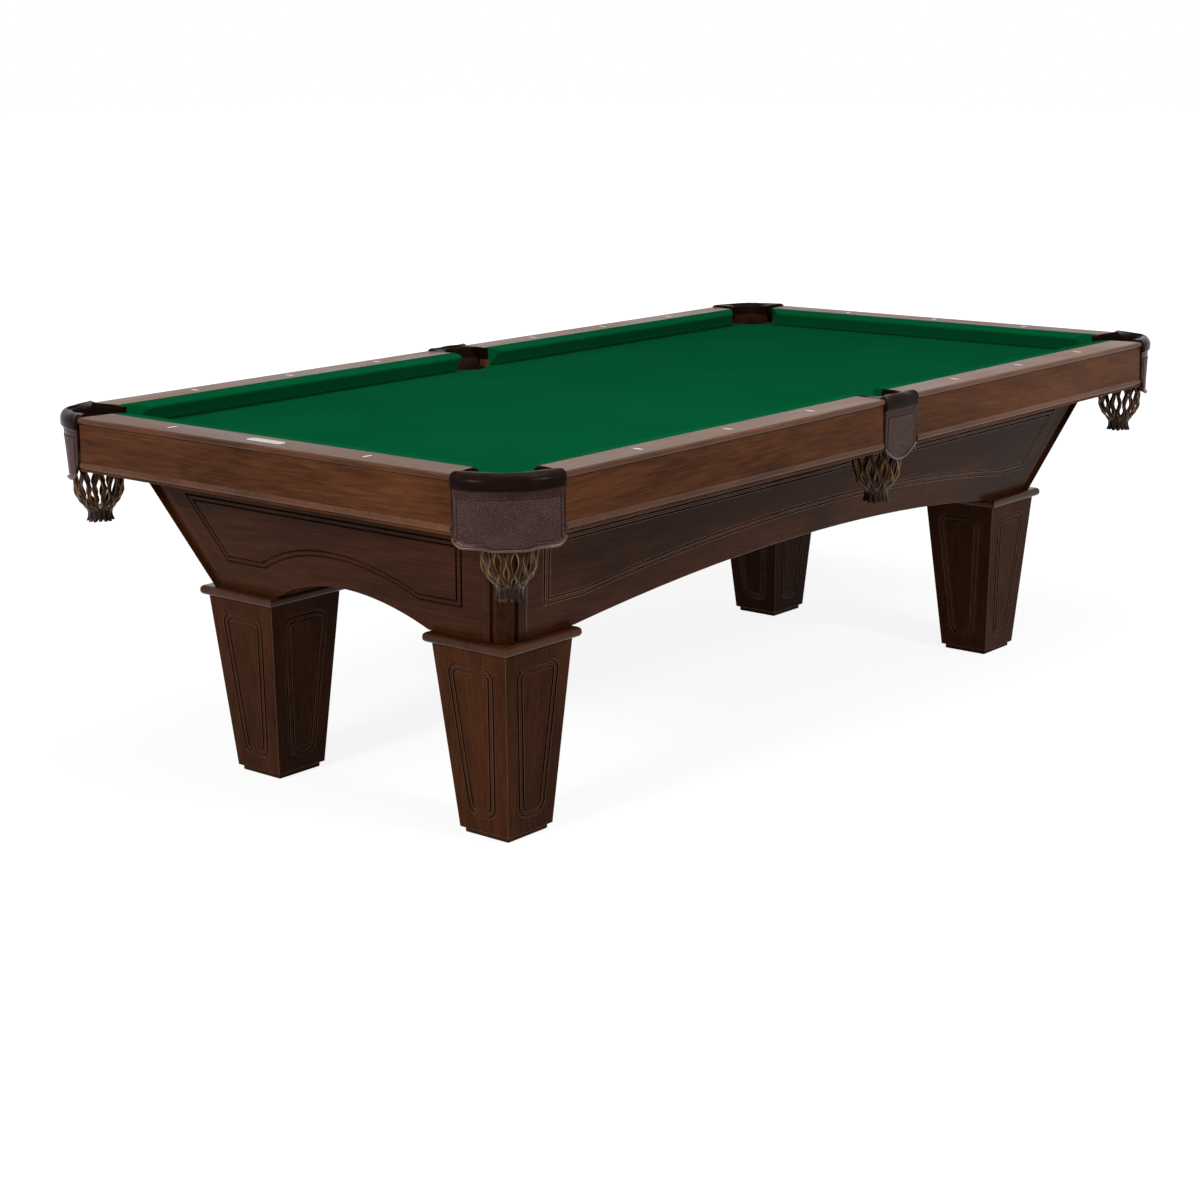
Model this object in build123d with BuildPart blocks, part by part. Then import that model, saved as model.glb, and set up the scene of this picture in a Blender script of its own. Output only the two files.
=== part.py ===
from build123d import *

import os
from math import cos, radians, sin, sqrt

# Eight-foot pool table with leather drop pockets.
# X runs along the table from the head end (-X) to the foot end (+X), Y across it, Z up.
# The origin is on the floor under the middle of the bed. All sizes are millimetres.

# Playing surface and slate
play_length = 2235.2  # cushion nose to cushion nose, along the table
play_width = 1117.6  # cushion nose to cushion nose, across the table
rail_top = 800.0  # height of the rail caps above the floor
bed_drop = 44.0  # rail top down to the cloth
cloth_thick = 1.0
slate_thick = 25.4
slate_inset = 40.0  # outer rail edge to the edge of the slate
slate_joint = 399.0  # middle of the table to a slate joint

# Rails, cushions and skirts
rail_width = 120.65  # cushion nose to the outer edge of the rail
cap_depth = 78.0  # bare wood on top of the rail
cap_bead = 7.0  # radius of the rounded outer edge
glue_depth = 90.0  # outer edge to the foot of the face that carries the cushion
glue_rake = 4.0  # lean of that face
nose_drop = 7.5  # rail top down to the cushion nose
cushion_lift = 5.0  # cloth up to the foot of the cushion
skirt_setback = 4.0  # outer edge of the rail to the flat of the skirt
skirt_thick = 19.0
skirt_drop = 112.0  # rail top down to the lower edge of the skirt
skirt_bead = 14.0  # height of the bead along the lower edge

# Where the rails stop at the pockets
corner_cut = 148.0  # outer corner to the end of a rail
corner_knee = 16.0  # how far that end leans back at the cushion
knee_depth = 82.0  # outer edge to the knee of a rail end
corner_mouth = 88.0  # nose corner to the tip of a cushion
side_gap = 65.5  # middle of a side pocket to the end of a rail
side_knee_gap = 58.5  # the same at the knee
side_mouth = 66.7  # the same at the cushion nose

# Pockets
hole_radius = 50.0
corner_hole_out = 31.0  # nose lines out to the middle of a corner hole
side_hole_out = 56.0  # nose line out to the middle of a side hole
iron_proud = 5.0  # iron in front of the rail edge
iron_height = 26.5  # thickness of an iron at the rail ends
iron_crown = 5.5  # rise of an iron towards its outer edge
iron_lift = 0.5  # iron above the rail top where they meet
iron_round = 6.0  # rounding of its edges
slate_play = 1.0  # collar of a net to the slate
shield_thick = 4.0
shield_play = 0.6  # side shield to the skirts beside it
shield_setback = 1.0  # outer edge of the rail to the face of a shield
shield_height = 122.0
shield_lobe = 22.0  # rounding of the lower corners of a shield
shield_point = 5.0  # drop of the middle of its lower edge
net_wall = 3.0
net_collar_drop = 39.0  # length of the plain collar under the iron
net_barrel_drop = 120.0  # top of the net down to its fullest part
net_barrel = 55.0  # outer radius there
net_neck_drop = 160.0  # top of the net down to the tie
net_neck = 31.0
net_drop = 182.0  # full length of the net with its fringe
net_fringe = 35.0
net_floor = 8.0
net_straps = 10
net_slit = 7.5  # half width of a slit between straps
net_upper_slit = 24.0  # half length of a slit in the upper row
net_lower_slit = 28.0

# Cabinet
cabinet_height = 313.6  # lower edge of the aprons up to the slate
cabinet_lean = 124.0  # how far the aprons lean out over that height
cabinet_end_inset = 34.4  # middle of a corner hole back to the top of an end apron
net_clear = 10.6  # side net to the top of the apron behind it
apron_thick = 25.0
arch_rise = 56.0  # height of the arch in the lower edge of an apron
panel_margin = 66.0  # lower edge of an apron to its panel moulding
panel_side = 110.0  # corner of the cabinet to the panel moulding
panel_head = 97.0  # top of an apron to the panel moulding
groove_width = 5.0
groove_depth = 5.0
bead_width = 7.0  # left standing between the two grooves
post_reach = 62.0  # corner of the cabinet to the joint with an apron
post_flat = 17.0  # corner of the cabinet back to the edge of the flat
post_proud = 8.0  # edge of the flat in front of the aprons
post_cove = 20.0  # width of the cove beside the flat
post_cove_depth = 7.0
post_strip = 2.0  # run-in of the cove
beam_width = 44.0
beam_height = 90.0
beam_joint = 0.3  # gap where two beams meet
block_thick = 30.0
block_play = 2.0  # mount block to the aprons

# Legs and levelers
leg_inset_x = 92.4  # lower edge of an end apron back to the middle of a leg
leg_inset_y = 91.9  # the same from a side apron
leg_top_width = 196.4
leg_foot_width = 131.0
leg_gap = 12.0  # floor to the lower edge of a leg
cap_height = 21.2
cap_width = 223.0
cap_round = 9.0
leg_panel_inset = 32.0
leg_panel_round = 10.0
leg_hollow_wall = 22.0
leg_head_thick = 60.0
web_thick = 30.0
foot_width = 116.0
foot_height = 57.0
foot_play = 0.5
foot_bevel = 1.5
stud_radius = 8.0
stud_play = 0.5
stud_seat = 20.0  # lower end of the stud above the ground
stud_length = 170.0
flange_radius = 15.0  # flange of the stud on top of the foot
flange_height = 12.0
key_flats = 8.0  # hexagon in the lower end of the stud
key_depth = 10.0
key_hole = 6.0  # radius of the hole under the foot that the key goes through
nut_height = 12.0
nut_flats = 36.0

# Fasteners and trim
bolt_radius = 5.0
bolt_head = 9.0
bolt_head_height = 7.0
rail_bolt_inset = 62.0  # outer rail edge to a rail bolt
rail_bolt_reach = 20.0  # thread in the rail
leg_bolt_spread = 52.0
leg_bolt_reach = 40.0
slate_screw_reach = 20.0
slate_screw_inset = 16.0  # outer edge of an apron top to a screw
sight_inset = 42.5
sight_length = 25.0
sight_width = 8.0
sight_thick = 2.0
sight_proud = 0.2
plate_length = 100.0
plate_width = 26.0
plate_thick = 2.0

# Derived sizes
nose_x = play_length / 2
nose_y = play_width / 2
half_length = nose_x + rail_width
half_width = nose_y + rail_width
bed = rail_top - bed_drop
slate_top = bed - cloth_thick
slate_under = slate_top - slate_thick
slate_x = half_length - slate_inset
slate_y = half_width - slate_inset
cap_under = rail_top - 2 * cap_bead
skirt_back = skirt_setback + skirt_thick
skirt_under = rail_top - skirt_drop
corner_x = nose_x + corner_hole_out
corner_y = nose_y + corner_hole_out
side_y = nose_y + side_hole_out
iron_top = rail_top + iron_lift
iron_under = iron_top - iron_height
collar_radius = hole_radius + net_wall
slate_hole = collar_radius + slate_play
net_top = iron_under - net_collar_drop
cabinet_top = slate_under
cabinet_bottom = cabinet_top - cabinet_height
cabinet_slope = cabinet_lean / cabinet_height
cabinet_half_length = corner_x - cabinet_end_inset - cabinet_lean
cabinet_half_width = side_y - net_barrel - net_clear - cabinet_lean
slant = sqrt(1 + cabinet_slope**2)
leg_x = cabinet_half_length - leg_inset_x
leg_y = cabinet_half_width - leg_inset_y
leg_top = cabinet_bottom - cap_height
leg_height = leg_top - leg_gap
leg_slope = (leg_top_width - leg_foot_width) / 2 / leg_height
leg_slant = sqrt(1 + leg_slope**2)
nut_under = foot_height + flange_height
web_under = nut_under + nut_height
web_over = web_under + web_thick
arch_x = leg_x - cap_width / 2
arch_y = leg_y - cap_width / 2
tall = rail_top + 200  # anything reaching past the table
diagonal = 1 / sqrt(2)
sight_pitch_x = play_length / 8  # the sights divide the play area evenly
sight_pitch_y = play_width / 4

corners = [
    ("head_right", -1, -1),
    ("head_left", -1, 1),
    ("foot_right", 1, -1),
    ("foot_left", 1, 1),
]
sides = [("side_right", -1), ("side_left", 1)]
quarters = [(1, 1), (-1, 1), (-1, -1), (1, -1)]

os.makedirs("parts", exist_ok=True)


def save(piece, name):
    """Label a finished piece and write it under its own name."""
    piece.part.label = name
    export_step(piece.part, f"parts/{name}.step")


def turned(master, sx, sy):
    """The master piece mirrored into the quarter of the table given by the two signs."""
    with BuildPart() as piece:
        add(master.part)
        if sx < 0:
            mirror(about=Plane.YZ, mode=Mode.REPLACE)
        if sy < 0:
            mirror(about=Plane.XZ, mode=Mode.REPLACE)
    return piece


def all_quarters(master):
    """The master piece in each of the four quarters, as one group."""
    pieces = [turned(master, sx, sy).part for sx, sy in quarters]
    with BuildPart() as group:
        add(pieces)
    return group


def all_round(side_master, end_master):
    """A side piece in four quarters and an end piece at both ends, as one group."""
    pieces = [turned(side_master, sx, sy).part for sx, sy in quarters]
    pieces += [turned(end_master, sx, 1).part for sx in (-1, 1)]
    with BuildPart() as group:
        add(pieces)
    return group


# Rails. Each cross-section is drawn with its X inward from the outer edge of the rail.

side_section = Plane(origin=(0, half_width, 0), x_dir=(0, -1, 0), z_dir=(-1, 0, 0))
end_section = Plane(origin=(half_length, 0, 0), x_dir=(-1, 0, 0), z_dir=(0, 1, 0))


with BuildSketch() as rail_section:
    with BuildLine():
        Polyline(
            (cap_bead, rail_top),
            (cap_depth, rail_top),
            (cap_depth, rail_top - cloth_thick),
            (glue_depth - glue_rake, rail_top - cloth_thick),
            (glue_depth, bed + bed_drop / 3),
            (glue_depth, bed),
            (skirt_back, bed),
            (skirt_back, cap_under),
            (cap_bead, cap_under),
        )
        ThreePointArc((cap_bead, cap_under), (0, rail_top - cap_bead), (cap_bead, rail_top))
    make_face()

with BuildSketch() as cushion_section:
    with BuildLine():
        Polyline(
            (cap_depth, rail_top - cloth_thick),
            (cap_depth, rail_top),
            (glue_depth, rail_top),
            (rail_width - 3, rail_top - nose_drop + 3),
            (rail_width, rail_top - nose_drop),
            (rail_width - 2, rail_top - nose_drop - 4),
            (glue_depth + 5, bed + cushion_lift),
            (glue_depth, bed + cushion_lift),
            (glue_depth, bed + bed_drop / 3),
            (glue_depth - glue_rake, rail_top - cloth_thick),
            close=True,
        )
    make_face()


bead_foot = skirt_under + skirt_setback

with BuildSketch() as skirt_section:
    with BuildLine():
        Polyline(
            (skirt_setback, bead_foot + skirt_bead),
            (skirt_setback, cap_under),
            (skirt_back, cap_under),
            (skirt_back, skirt_under),
            (skirt_setback / 2, skirt_under),
            (skirt_setback / 2, bead_foot),
            (skirt_setback, bead_foot),
        )
        ThreePointArc(
            (skirt_setback, bead_foot),
            (0, bead_foot + skirt_bead / 2),
            (skirt_setback, bead_foot + skirt_bead),
        )
    make_face()


side_plan = [
    (half_length - corner_cut, half_width + 20),
    (half_length - corner_cut, half_width),
    (half_length - corner_cut - corner_knee, half_width - knee_depth),
    (nose_x - corner_mouth, nose_y),
    (nose_x - corner_mouth, nose_y - 20),
    (side_mouth, nose_y - 20),
    (side_mouth, nose_y),
    (side_knee_gap, half_width - knee_depth),
    (side_gap, half_width),
    (side_gap, half_width + 20),
]
end_plan_half = [
    (half_length + 20, half_width - corner_cut),
    (half_length, half_width - corner_cut),
    (half_length - knee_depth, half_width - corner_cut - corner_knee),
    (nose_x, nose_y - corner_mouth),
    (nose_x - 20, nose_y - corner_mouth),
]
end_plan = end_plan_half + [(x, -y) for x, y in reversed(end_plan_half)]


def side_bar(section):
    """A length of rail, skirt or cushion between a side pocket and a corner pocket."""
    with BuildPart() as bar:
        with BuildSketch(side_section):
            add(section.sketch)
        extrude(amount=-half_length)
        with BuildSketch():
            with BuildLine():
                Polyline(*side_plan, close=True)
            make_face()
        extrude(amount=tall, mode=Mode.INTERSECT)
    return bar


def end_bar(section):
    """A length of rail, skirt or cushion across the end of the table."""
    with BuildPart() as bar:
        with BuildSketch(end_section):
            add(section.sketch)
        extrude(amount=half_width, both=True)
        with BuildSketch():
            with BuildLine():
                Polyline(*end_plan, close=True)
            make_face()
        extrude(amount=tall, mode=Mode.INTERSECT)
    return bar


side_sights = [(sight_pitch_x * step, half_width - sight_inset) for step in (1, 2, 3)]
end_sights = [(half_length - sight_inset, sight_pitch_y * step) for step in (-1, 0, 1)]
side_bolts = [(sight_pitch_x * step, half_width - rail_bolt_inset) for step in (0.6, 1.9, 3.2)]
end_bolts = [(half_length - rail_bolt_inset, sight_pitch_y * step) for step in (-1.4, 0, 1.4)]


def sight_row(points, rotation):
    """Outlines of inlaid sights with their length across the rail."""
    with BuildSketch() as row:
        with Locations(*points):
            Ellipse(sight_length / 2, sight_width / 2, rotation=rotation)
    return row.sketch


side_row = sight_row(side_sights, 90)
foot_row = sight_row(end_sights, 0)
head_row = sight_row([(-x, y) for x, y in (end_sights[0], end_sights[2])], 0)
sight_floor = Plane.XY.offset(rail_top - sight_thick)
side_rail_bar = side_bar(rail_section)
end_rail_bar = end_bar(rail_section)

with BuildPart() as side_rail:
    add(side_rail_bar.part)
    with BuildSketch(sight_floor):
        add(side_row)
    extrude(amount=sight_thick + 1, mode=Mode.SUBTRACT)
    with BuildSketch(Plane.XY.offset(bed)):
        with Locations(*side_bolts):
            Circle(bolt_radius)
    extrude(amount=rail_bolt_reach, mode=Mode.SUBTRACT)

with BuildPart() as plain_end_rail:
    add(end_rail_bar.part)
    with BuildSketch(Plane.XY.offset(bed)):
        with Locations(*end_bolts):
            Circle(bolt_radius)
    extrude(amount=rail_bolt_reach, mode=Mode.SUBTRACT)

with BuildPart() as foot_rail:
    add(plain_end_rail.part)
    with BuildSketch(sight_floor):
        add(foot_row)
    extrude(amount=sight_thick + 1, mode=Mode.SUBTRACT)

plate_spot = Plane(origin=(-half_length + sight_inset, 0, rail_top - plate_thick))

with BuildPart() as head_rail:
    add(plain_end_rail.part)
    mirror(about=Plane.YZ, mode=Mode.REPLACE)
    with BuildSketch(sight_floor):
        add(head_row)
    extrude(amount=sight_thick + 1, mode=Mode.SUBTRACT)
    with BuildSketch(plate_spot):
        SlotOverall(plate_length, plate_width, rotation=90)
    extrude(amount=plate_thick + 1, mode=Mode.SUBTRACT)

save(foot_rail, "rail_foot")
save(head_rail, "rail_head")
for quarter, sx, sy in corners:
    save(turned(side_rail, sx, sy), f"rail_{quarter}")

with BuildPart() as nameplate:
    with BuildSketch(plate_spot):
        SlotOverall(plate_length, plate_width, rotation=90)
    extrude(amount=plate_thick + sight_proud)
    chamfer(nameplate.faces().sort_by(Axis.Z)[-1].edges(), sight_proud)
save(nameplate, "nameplate")

with BuildPart() as side_sight_row:
    with BuildSketch(sight_floor):
        add(side_row)
    extrude(amount=sight_thick + sight_proud)

side_sight_rows = all_quarters(side_sight_row)

with BuildPart() as sights:
    add(side_sight_rows.part)
    with BuildSketch(sight_floor):
        add(foot_row)
        add(head_row)
    extrude(amount=sight_thick + sight_proud)
save(sights, "sights")

save(all_round(side_bar(skirt_section), end_bar(skirt_section)), "skirts")
save(all_round(side_bar(cushion_section), end_bar(cushion_section)), "cushions")


# Bed: three slates and the cloth stretched over them

opening_reach = 2 * rail_width
opening_step = opening_reach / 2 * diagonal

with BuildSketch() as pocket_openings:
    for sx, sy in quarters:
        with Locations((sx * corner_x, sy * corner_y)):
            Circle(slate_hole)
        with Locations((sx * (corner_x + opening_step), sy * (corner_y + opening_step))):
            Rectangle(opening_reach, 2 * slate_hole, rotation=45 * sx * sy)
    for sy in (-1, 1):
        with Locations((0, sy * side_y)):
            Circle(slate_hole)
        with Locations((0, sy * (side_y + opening_reach / 2))):
            Rectangle(2 * slate_hole, opening_reach)

apron_screws = [(cabinet_half_length + cabinet_lean - slate_screw_inset, cabinet_half_width / 2 * sy) for sy in (-1, 1)]
beam_screws = [
    (slate_joint + beam_width / 4 * turn, cabinet_half_width * sy) for turn in (-1, 1) for sy in (-1, 1)
]
screw_spots = [(sx * x, y) for sx in (-1, 1) for x, y in apron_screws + beam_screws]
pilot_floor = Plane.XY.offset(slate_under - slate_screw_reach)
pilot_radius = bolt_radius - 1
rail_bolt_spots = [(sx * x, sy * y) for sx, sy in quarters for x, y in side_bolts]
rail_bolt_spots += [(sx * x, y) for sx in (-1, 1) for x, y in end_bolts]


def slate(start, end):
    """One slate between two stations along the table."""
    with BuildPart() as piece:
        with BuildSketch(Plane.XY.offset(slate_under)):
            Rectangle(2 * slate_x, 2 * slate_y)
            add(pocket_openings.sketch, mode=Mode.SUBTRACT)
            with Locations(*rail_bolt_spots):
                Circle(bolt_radius, mode=Mode.SUBTRACT)
            with Locations(((start + end) / 2, 0)):
                Rectangle(end - start, 2 * half_width, mode=Mode.INTERSECT)
        extrude(amount=slate_thick)
        here = [(x, y) for x, y in screw_spots if start < x < end]
        with Locations(*[(x, y, slate_top) for x, y in here]):
            CounterSinkHole(bolt_radius, bolt_head, slate_thick + 1)
    return piece


save(slate(-slate_x, -slate_joint), "slate_head")
save(slate(-slate_joint, slate_joint), "slate_middle")
save(slate(slate_joint, slate_x), "slate_foot")

with BuildPart() as bed_cloth:
    with BuildSketch(Plane.XY.offset(slate_top)):
        Rectangle(2 * slate_x, 2 * slate_y)
        add(pocket_openings.sketch, mode=Mode.SUBTRACT)
        with Locations(*rail_bolt_spots):
            Circle(bolt_radius, mode=Mode.SUBTRACT)
    extrude(amount=cloth_thick)
save(bed_cloth, "bed_cloth")

screw_cone = bolt_head - bolt_radius
with BuildPart() as slate_screw:
    with BuildSketch(Plane.XZ):
        with BuildLine():
            Polyline(
                (0, slate_top),
                (bolt_head, slate_top),
                (bolt_radius, slate_top - screw_cone),
                (bolt_radius, slate_under),
                (pilot_radius, slate_under),
                (1, slate_under - slate_screw_reach),
                (0, slate_under - slate_screw_reach),
                close=True,
            )
        make_face()
    revolve(axis=Axis.Z)

with BuildPart() as slate_screws:
    with Locations(*[(x, y, 0) for x, y in screw_spots]):
        add(slate_screw.part)
save(slate_screws, "slate_screws")

with BuildPart() as rail_bolt:
    with BuildSketch(Plane.XY.offset(slate_under - bolt_head_height)):
        RegularPolygon(bolt_head, 6)
    extrude(amount=bolt_head_height)
    with BuildSketch(Plane.XY.offset(slate_under)):
        Circle(bolt_radius)
    extrude(amount=bed - slate_under + rail_bolt_reach)

with BuildPart() as rail_bolts:
    with Locations(*[(x, y, 0) for x, y in rail_bolt_spots]):
        add(rail_bolt.part)
save(rail_bolts, "rail_bolts")


# Pockets. The masters are the foot left corner and the left side.

arc_x = half_length - corner_cut
arc_y = half_width - corner_cut
iron_radius = corner_cut + iron_proud
shield_radius = corner_cut - shield_setback
corner_rise = Plane(origin=(corner_x, corner_y, 0), x_dir=(diagonal, diagonal, 0), z_dir=(diagonal, -diagonal, 0))
side_rise = Plane(origin=(0, side_y, 0), x_dir=(0, 1, 0), z_dir=(1, 0, 0))
arm_end = glue_depth  # the arms of an iron run in as far as the cushions
arm_share = (arm_end - knee_depth) / (rail_width - knee_depth)
corner_arm = corner_knee + arm_share * (corner_mouth + rail_width - corner_cut - corner_knee)
side_arm = side_knee_gap + arm_share * (side_mouth - side_knee_gap)


def iron_top_cut(start, end):
    """Slope of the top of an iron: level at the rails, rising to the outer edge."""
    with BuildSketch() as above:
        with BuildLine():
            Polyline(
                (-tall, tall),
                (-tall, iron_top),
                (start, iron_top),
                (end, iron_top + iron_crown),
                (tall, iron_top + iron_crown),
                (tall, tall),
                close=True,
            )
        make_face()
    return above.sketch


corner_start = (arc_x + half_width - corner_x - corner_y) * diagonal
corner_end = (arc_x + arc_y - corner_x - corner_y) * diagonal + iron_radius
corner_above = iron_top_cut(corner_start, corner_end)

with BuildPart() as corner_iron:
    with BuildSketch(Plane.XY.offset(iron_under)):
        with BuildLine():
            Polyline(
                (half_length + iron_proud, arc_y),
                (half_length, arc_y),
                (half_length - knee_depth, arc_y - corner_knee),
                (half_length - arm_end, arc_y - corner_arm),
                (arc_x - corner_arm, half_width - arm_end),
                (arc_x - corner_knee, half_width - knee_depth),
                (arc_x, half_width),
                (arc_x, half_width + iron_proud),
            )
            ThreePointArc(
                (arc_x, half_width + iron_proud),
                (arc_x + iron_radius * diagonal, arc_y + iron_radius * diagonal),
                (half_length + iron_proud, arc_y),
            )
        make_face()
        with Locations((corner_x, corner_y)):
            Circle(hole_radius, mode=Mode.SUBTRACT)
        with Locations((corner_x - rail_width * diagonal, corner_y - rail_width * diagonal)):
            Rectangle(2 * rail_width, 2 * hole_radius, rotation=45, mode=Mode.SUBTRACT)
    extrude(amount=iron_height + iron_crown)
    with BuildSketch(corner_rise):
        add(corner_above)
    extrude(amount=tall, both=True, mode=Mode.SUBTRACT)
    rim = corner_iron.edges().filter_by(GeomType.CIRCLE).filter_by(lambda e: e.radius > hole_radius + 1)
    fillet(rim.sort_by(Axis.Z)[0], iron_round / 2)

side_front = half_width + iron_proud
side_above = iron_top_cut(half_width - side_y - iron_round, side_front - side_y)

with BuildPart() as side_iron:
    with BuildSketch(Plane.XY.offset(iron_under)):
        with BuildLine():
            Polyline(
                (side_gap, side_front),
                (side_gap, half_width),
                (side_knee_gap, half_width - knee_depth),
                (side_arm, half_width - arm_end),
                (-side_arm, half_width - arm_end),
                (-side_knee_gap, half_width - knee_depth),
                (-side_gap, half_width),
                (-side_gap, side_front),
                close=True,
            )
        make_face()
        with Locations((0, side_y)):
            Circle(hole_radius, mode=Mode.SUBTRACT)
        with Locations((0, side_y - rail_width)):
            Rectangle(2 * hole_radius, 2 * rail_width, mode=Mode.SUBTRACT)
    extrude(amount=iron_height + iron_crown)
    with BuildSketch(side_rise):
        add(side_above)
    extrude(amount=tall, both=True, mode=Mode.SUBTRACT)
    front = side_iron.faces().sort_by(Axis.Y)[-1]
    fillet(front.edges().filter_by(Axis.X), iron_round)

shield_under = iron_under - shield_height


def shield_cut(half):
    """What is cut from the lower edge of a shield: rounded corners, a shallow point between."""
    low = shield_under
    foot_edge = low + shield_point
    lobe = foot_edge + shield_lobe
    bend = shield_lobe * (1 - diagonal)
    with BuildSketch() as below:
        with BuildLine():
            Polyline((-half, lobe), (-tall, lobe), (-tall, low - tall), (tall, low - tall), (tall, lobe), (half, lobe))
            ThreePointArc((half, lobe), (half - bend, foot_edge + bend), (half - shield_lobe, foot_edge))
            Polyline((half - shield_lobe, foot_edge), (0, low), (-half + shield_lobe, foot_edge))
            ThreePointArc((-half + shield_lobe, foot_edge), (-half + bend, foot_edge + bend), (-half, lobe))
        make_face()
    return below.sketch


lobe_over = 1.0  # the rounding starts just past the side edges
corner_shield_cut = shield_cut(shield_radius * diagonal + lobe_over)
side_shield_cut = shield_cut(side_gap - shield_play + lobe_over)
corner_face = Plane(origin=(arc_x, arc_y, 0), x_dir=(-diagonal, diagonal, 0), z_dir=(diagonal, diagonal, 0))

with BuildPart() as corner_shield:
    with BuildSketch(Plane.XY.offset(shield_under)):
        with BuildLine():
            CenterArc((arc_x, arc_y), shield_radius, 0, 90)
            Line((arc_x, arc_y + shield_radius), (arc_x, arc_y + shield_radius - shield_thick))
            CenterArc((arc_x, arc_y), shield_radius - shield_thick, 0, 90)
            Line((arc_x + shield_radius - shield_thick, arc_y), (arc_x + shield_radius, arc_y))
        make_face()
    extrude(amount=shield_height)
    with BuildSketch(corner_face):
        add(corner_shield_cut)
    extrude(amount=2 * corner_cut, mode=Mode.SUBTRACT)

with BuildPart() as side_shield:
    with BuildSketch(Plane.XY.offset(shield_under)):
        with Locations((0, half_width - shield_setback - shield_thick / 2)):
            Rectangle(2 * (side_gap - shield_play), shield_thick)
    extrude(amount=shield_height)
    with BuildSketch(Plane.XZ):
        add(side_shield_cut)
    extrude(amount=-2 * half_width, mode=Mode.SUBTRACT)


barrel_z = net_top - net_barrel_drop
neck_z = net_top - net_neck_drop
fringe_z = net_top - net_drop
slit_upper_z = net_top - net_upper_slit - 14
slit_lower_z = neck_z + net_lower_slit + 10


def net_side(inset):
    """Side of a net from its collar to its tie, set in by a wall."""
    Spline(
        (collar_radius - inset, net_top),
        (net_barrel - 0.5 - inset, (net_top + barrel_z) / 2),
        (net_barrel - inset, barrel_z + 10),
        (net_barrel - 3 - inset, barrel_z - 8),
        ((net_barrel + net_neck) / 2 - inset, (barrel_z + neck_z + net_floor) / 2 - 5),
        (net_neck + 2 - inset, neck_z + net_floor),
    )


with BuildPart() as net:
    with BuildSketch(Plane.XZ):
        with BuildLine():
            net_side(0)
            Polyline(
                (net_neck + 2, neck_z + net_floor),
                (net_neck, neck_z),
                (net_fringe, fringe_z),
                (net_fringe - net_wall, fringe_z),
                (net_neck - net_wall, neck_z),
                (0, neck_z),
                (0, neck_z + net_floor),
                (net_neck - net_wall + 2, neck_z + net_floor),
            )
            net_side(net_wall)
            Polyline(
                (hole_radius, net_top),
                (hole_radius, iron_under),
                (collar_radius, iron_under),
                (collar_radius, net_top),
            )
        make_face()
    revolve(axis=Axis.Z)
    step = 360 / net_straps
    for index in range(net_straps):
        for height, half, turn in ((slit_upper_z, net_upper_slit, 0), (slit_lower_z, net_lower_slit, step / 2)):
            angle = index * step + turn
            way = (cos(radians(angle)), sin(radians(angle)), 0)
            across = (-sin(radians(angle)), cos(radians(angle)), 0)
            with BuildSketch(Plane(origin=(0, 0, height), x_dir=across, z_dir=way)):
                Ellipse(net_slit, half)
            extrude(amount=2 * net_barrel, mode=Mode.SUBTRACT)


def hung_net(x, y, inward):
    """A net under a hole, with its collar open to the table above the bed."""
    middle = (x + collar_radius * cos(radians(inward)), y + collar_radius * sin(radians(inward)))
    with BuildPart() as piece:
        with Locations((x, y, 0)):
            add(net.part)
        with BuildSketch(Plane.XY.offset(bed)):
            with Locations(middle):
                Rectangle(2 * collar_radius, 2 * collar_radius + 2, rotation=inward)
        extrude(amount=tall, mode=Mode.SUBTRACT)
    return piece


corner_net = hung_net(corner_x, corner_y, 225)
side_net = hung_net(0, side_y, 270)

for quarter, sx, sy in corners:
    save(turned(corner_iron, sx, sy), f"pocket_iron_{quarter}")
    save(turned(corner_shield, sx, sy), f"pocket_shield_{quarter}")
    save(turned(corner_net, sx, sy), f"pocket_net_{quarter}")

for place, sy in sides:
    save(turned(side_iron, 1, sy), f"pocket_iron_{place}")
    save(turned(side_shield, 1, sy), f"pocket_shield_{place}")
    save(turned(side_net, 1, sy), f"pocket_net_{place}")


# Cabinet: four sloping aprons between four corner posts

def half_at(half, z):
    """Half size of the cabinet at a height, from its half size at the lower edge."""
    return half + cabinet_slope * (z - cabinet_bottom)


def panel_ring(half, span, inset):
    """One groove of the panel moulding, drawn flat, to be laid on the face of an apron."""
    low = panel_margin
    high = cabinet_height - panel_head
    low_half = half + cabinet_slope * low - panel_side
    high_half = half + cabinet_slope * high - panel_side
    low = low * slant
    high = high * slant
    rim = [(-span, low), (-low_half, low), (-high_half, high)]
    rim += [(-x, y) for x, y in reversed(rim)]
    with BuildSketch() as outline:
        with BuildLine():
            Polyline(*rim)
            ThreePointArc((span, low), (0, low + arch_rise * slant), (-span, low))
        make_face()
    return groove(outline.sketch, inset)


def groove(outline, inset):
    """A band inside an outline, one groove wide, starting at an inset."""
    with BuildSketch() as band:
        if inset > 0:
            offset(outline, amount=-inset, kind=Kind.INTERSECTION)
        else:
            add(outline)
        offset(outline, amount=-inset - groove_width, kind=Kind.INTERSECTION, mode=Mode.SUBTRACT)
    return band.sketch


def arch_cut(span):
    """The arch under an apron."""
    low = cabinet_bottom - 10
    with BuildSketch() as below:
        with BuildLine():
            Polyline((-span, cabinet_bottom), (-span, low), (span, low), (span, cabinet_bottom))
            ThreePointArc((span, cabinet_bottom), (0, cabinet_bottom + arch_rise), (-span, cabinet_bottom))
        make_face()
    return below.sketch


groove_insets = (0, groove_width + bead_width)
end_rings = [panel_ring(cabinet_half_width, arch_y, inset) for inset in groove_insets]
side_rings = [panel_ring(cabinet_half_length, arch_x, inset) for inset in groove_insets]
end_arch = arch_cut(arch_y)
side_arch = arch_cut(arch_x)

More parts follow.
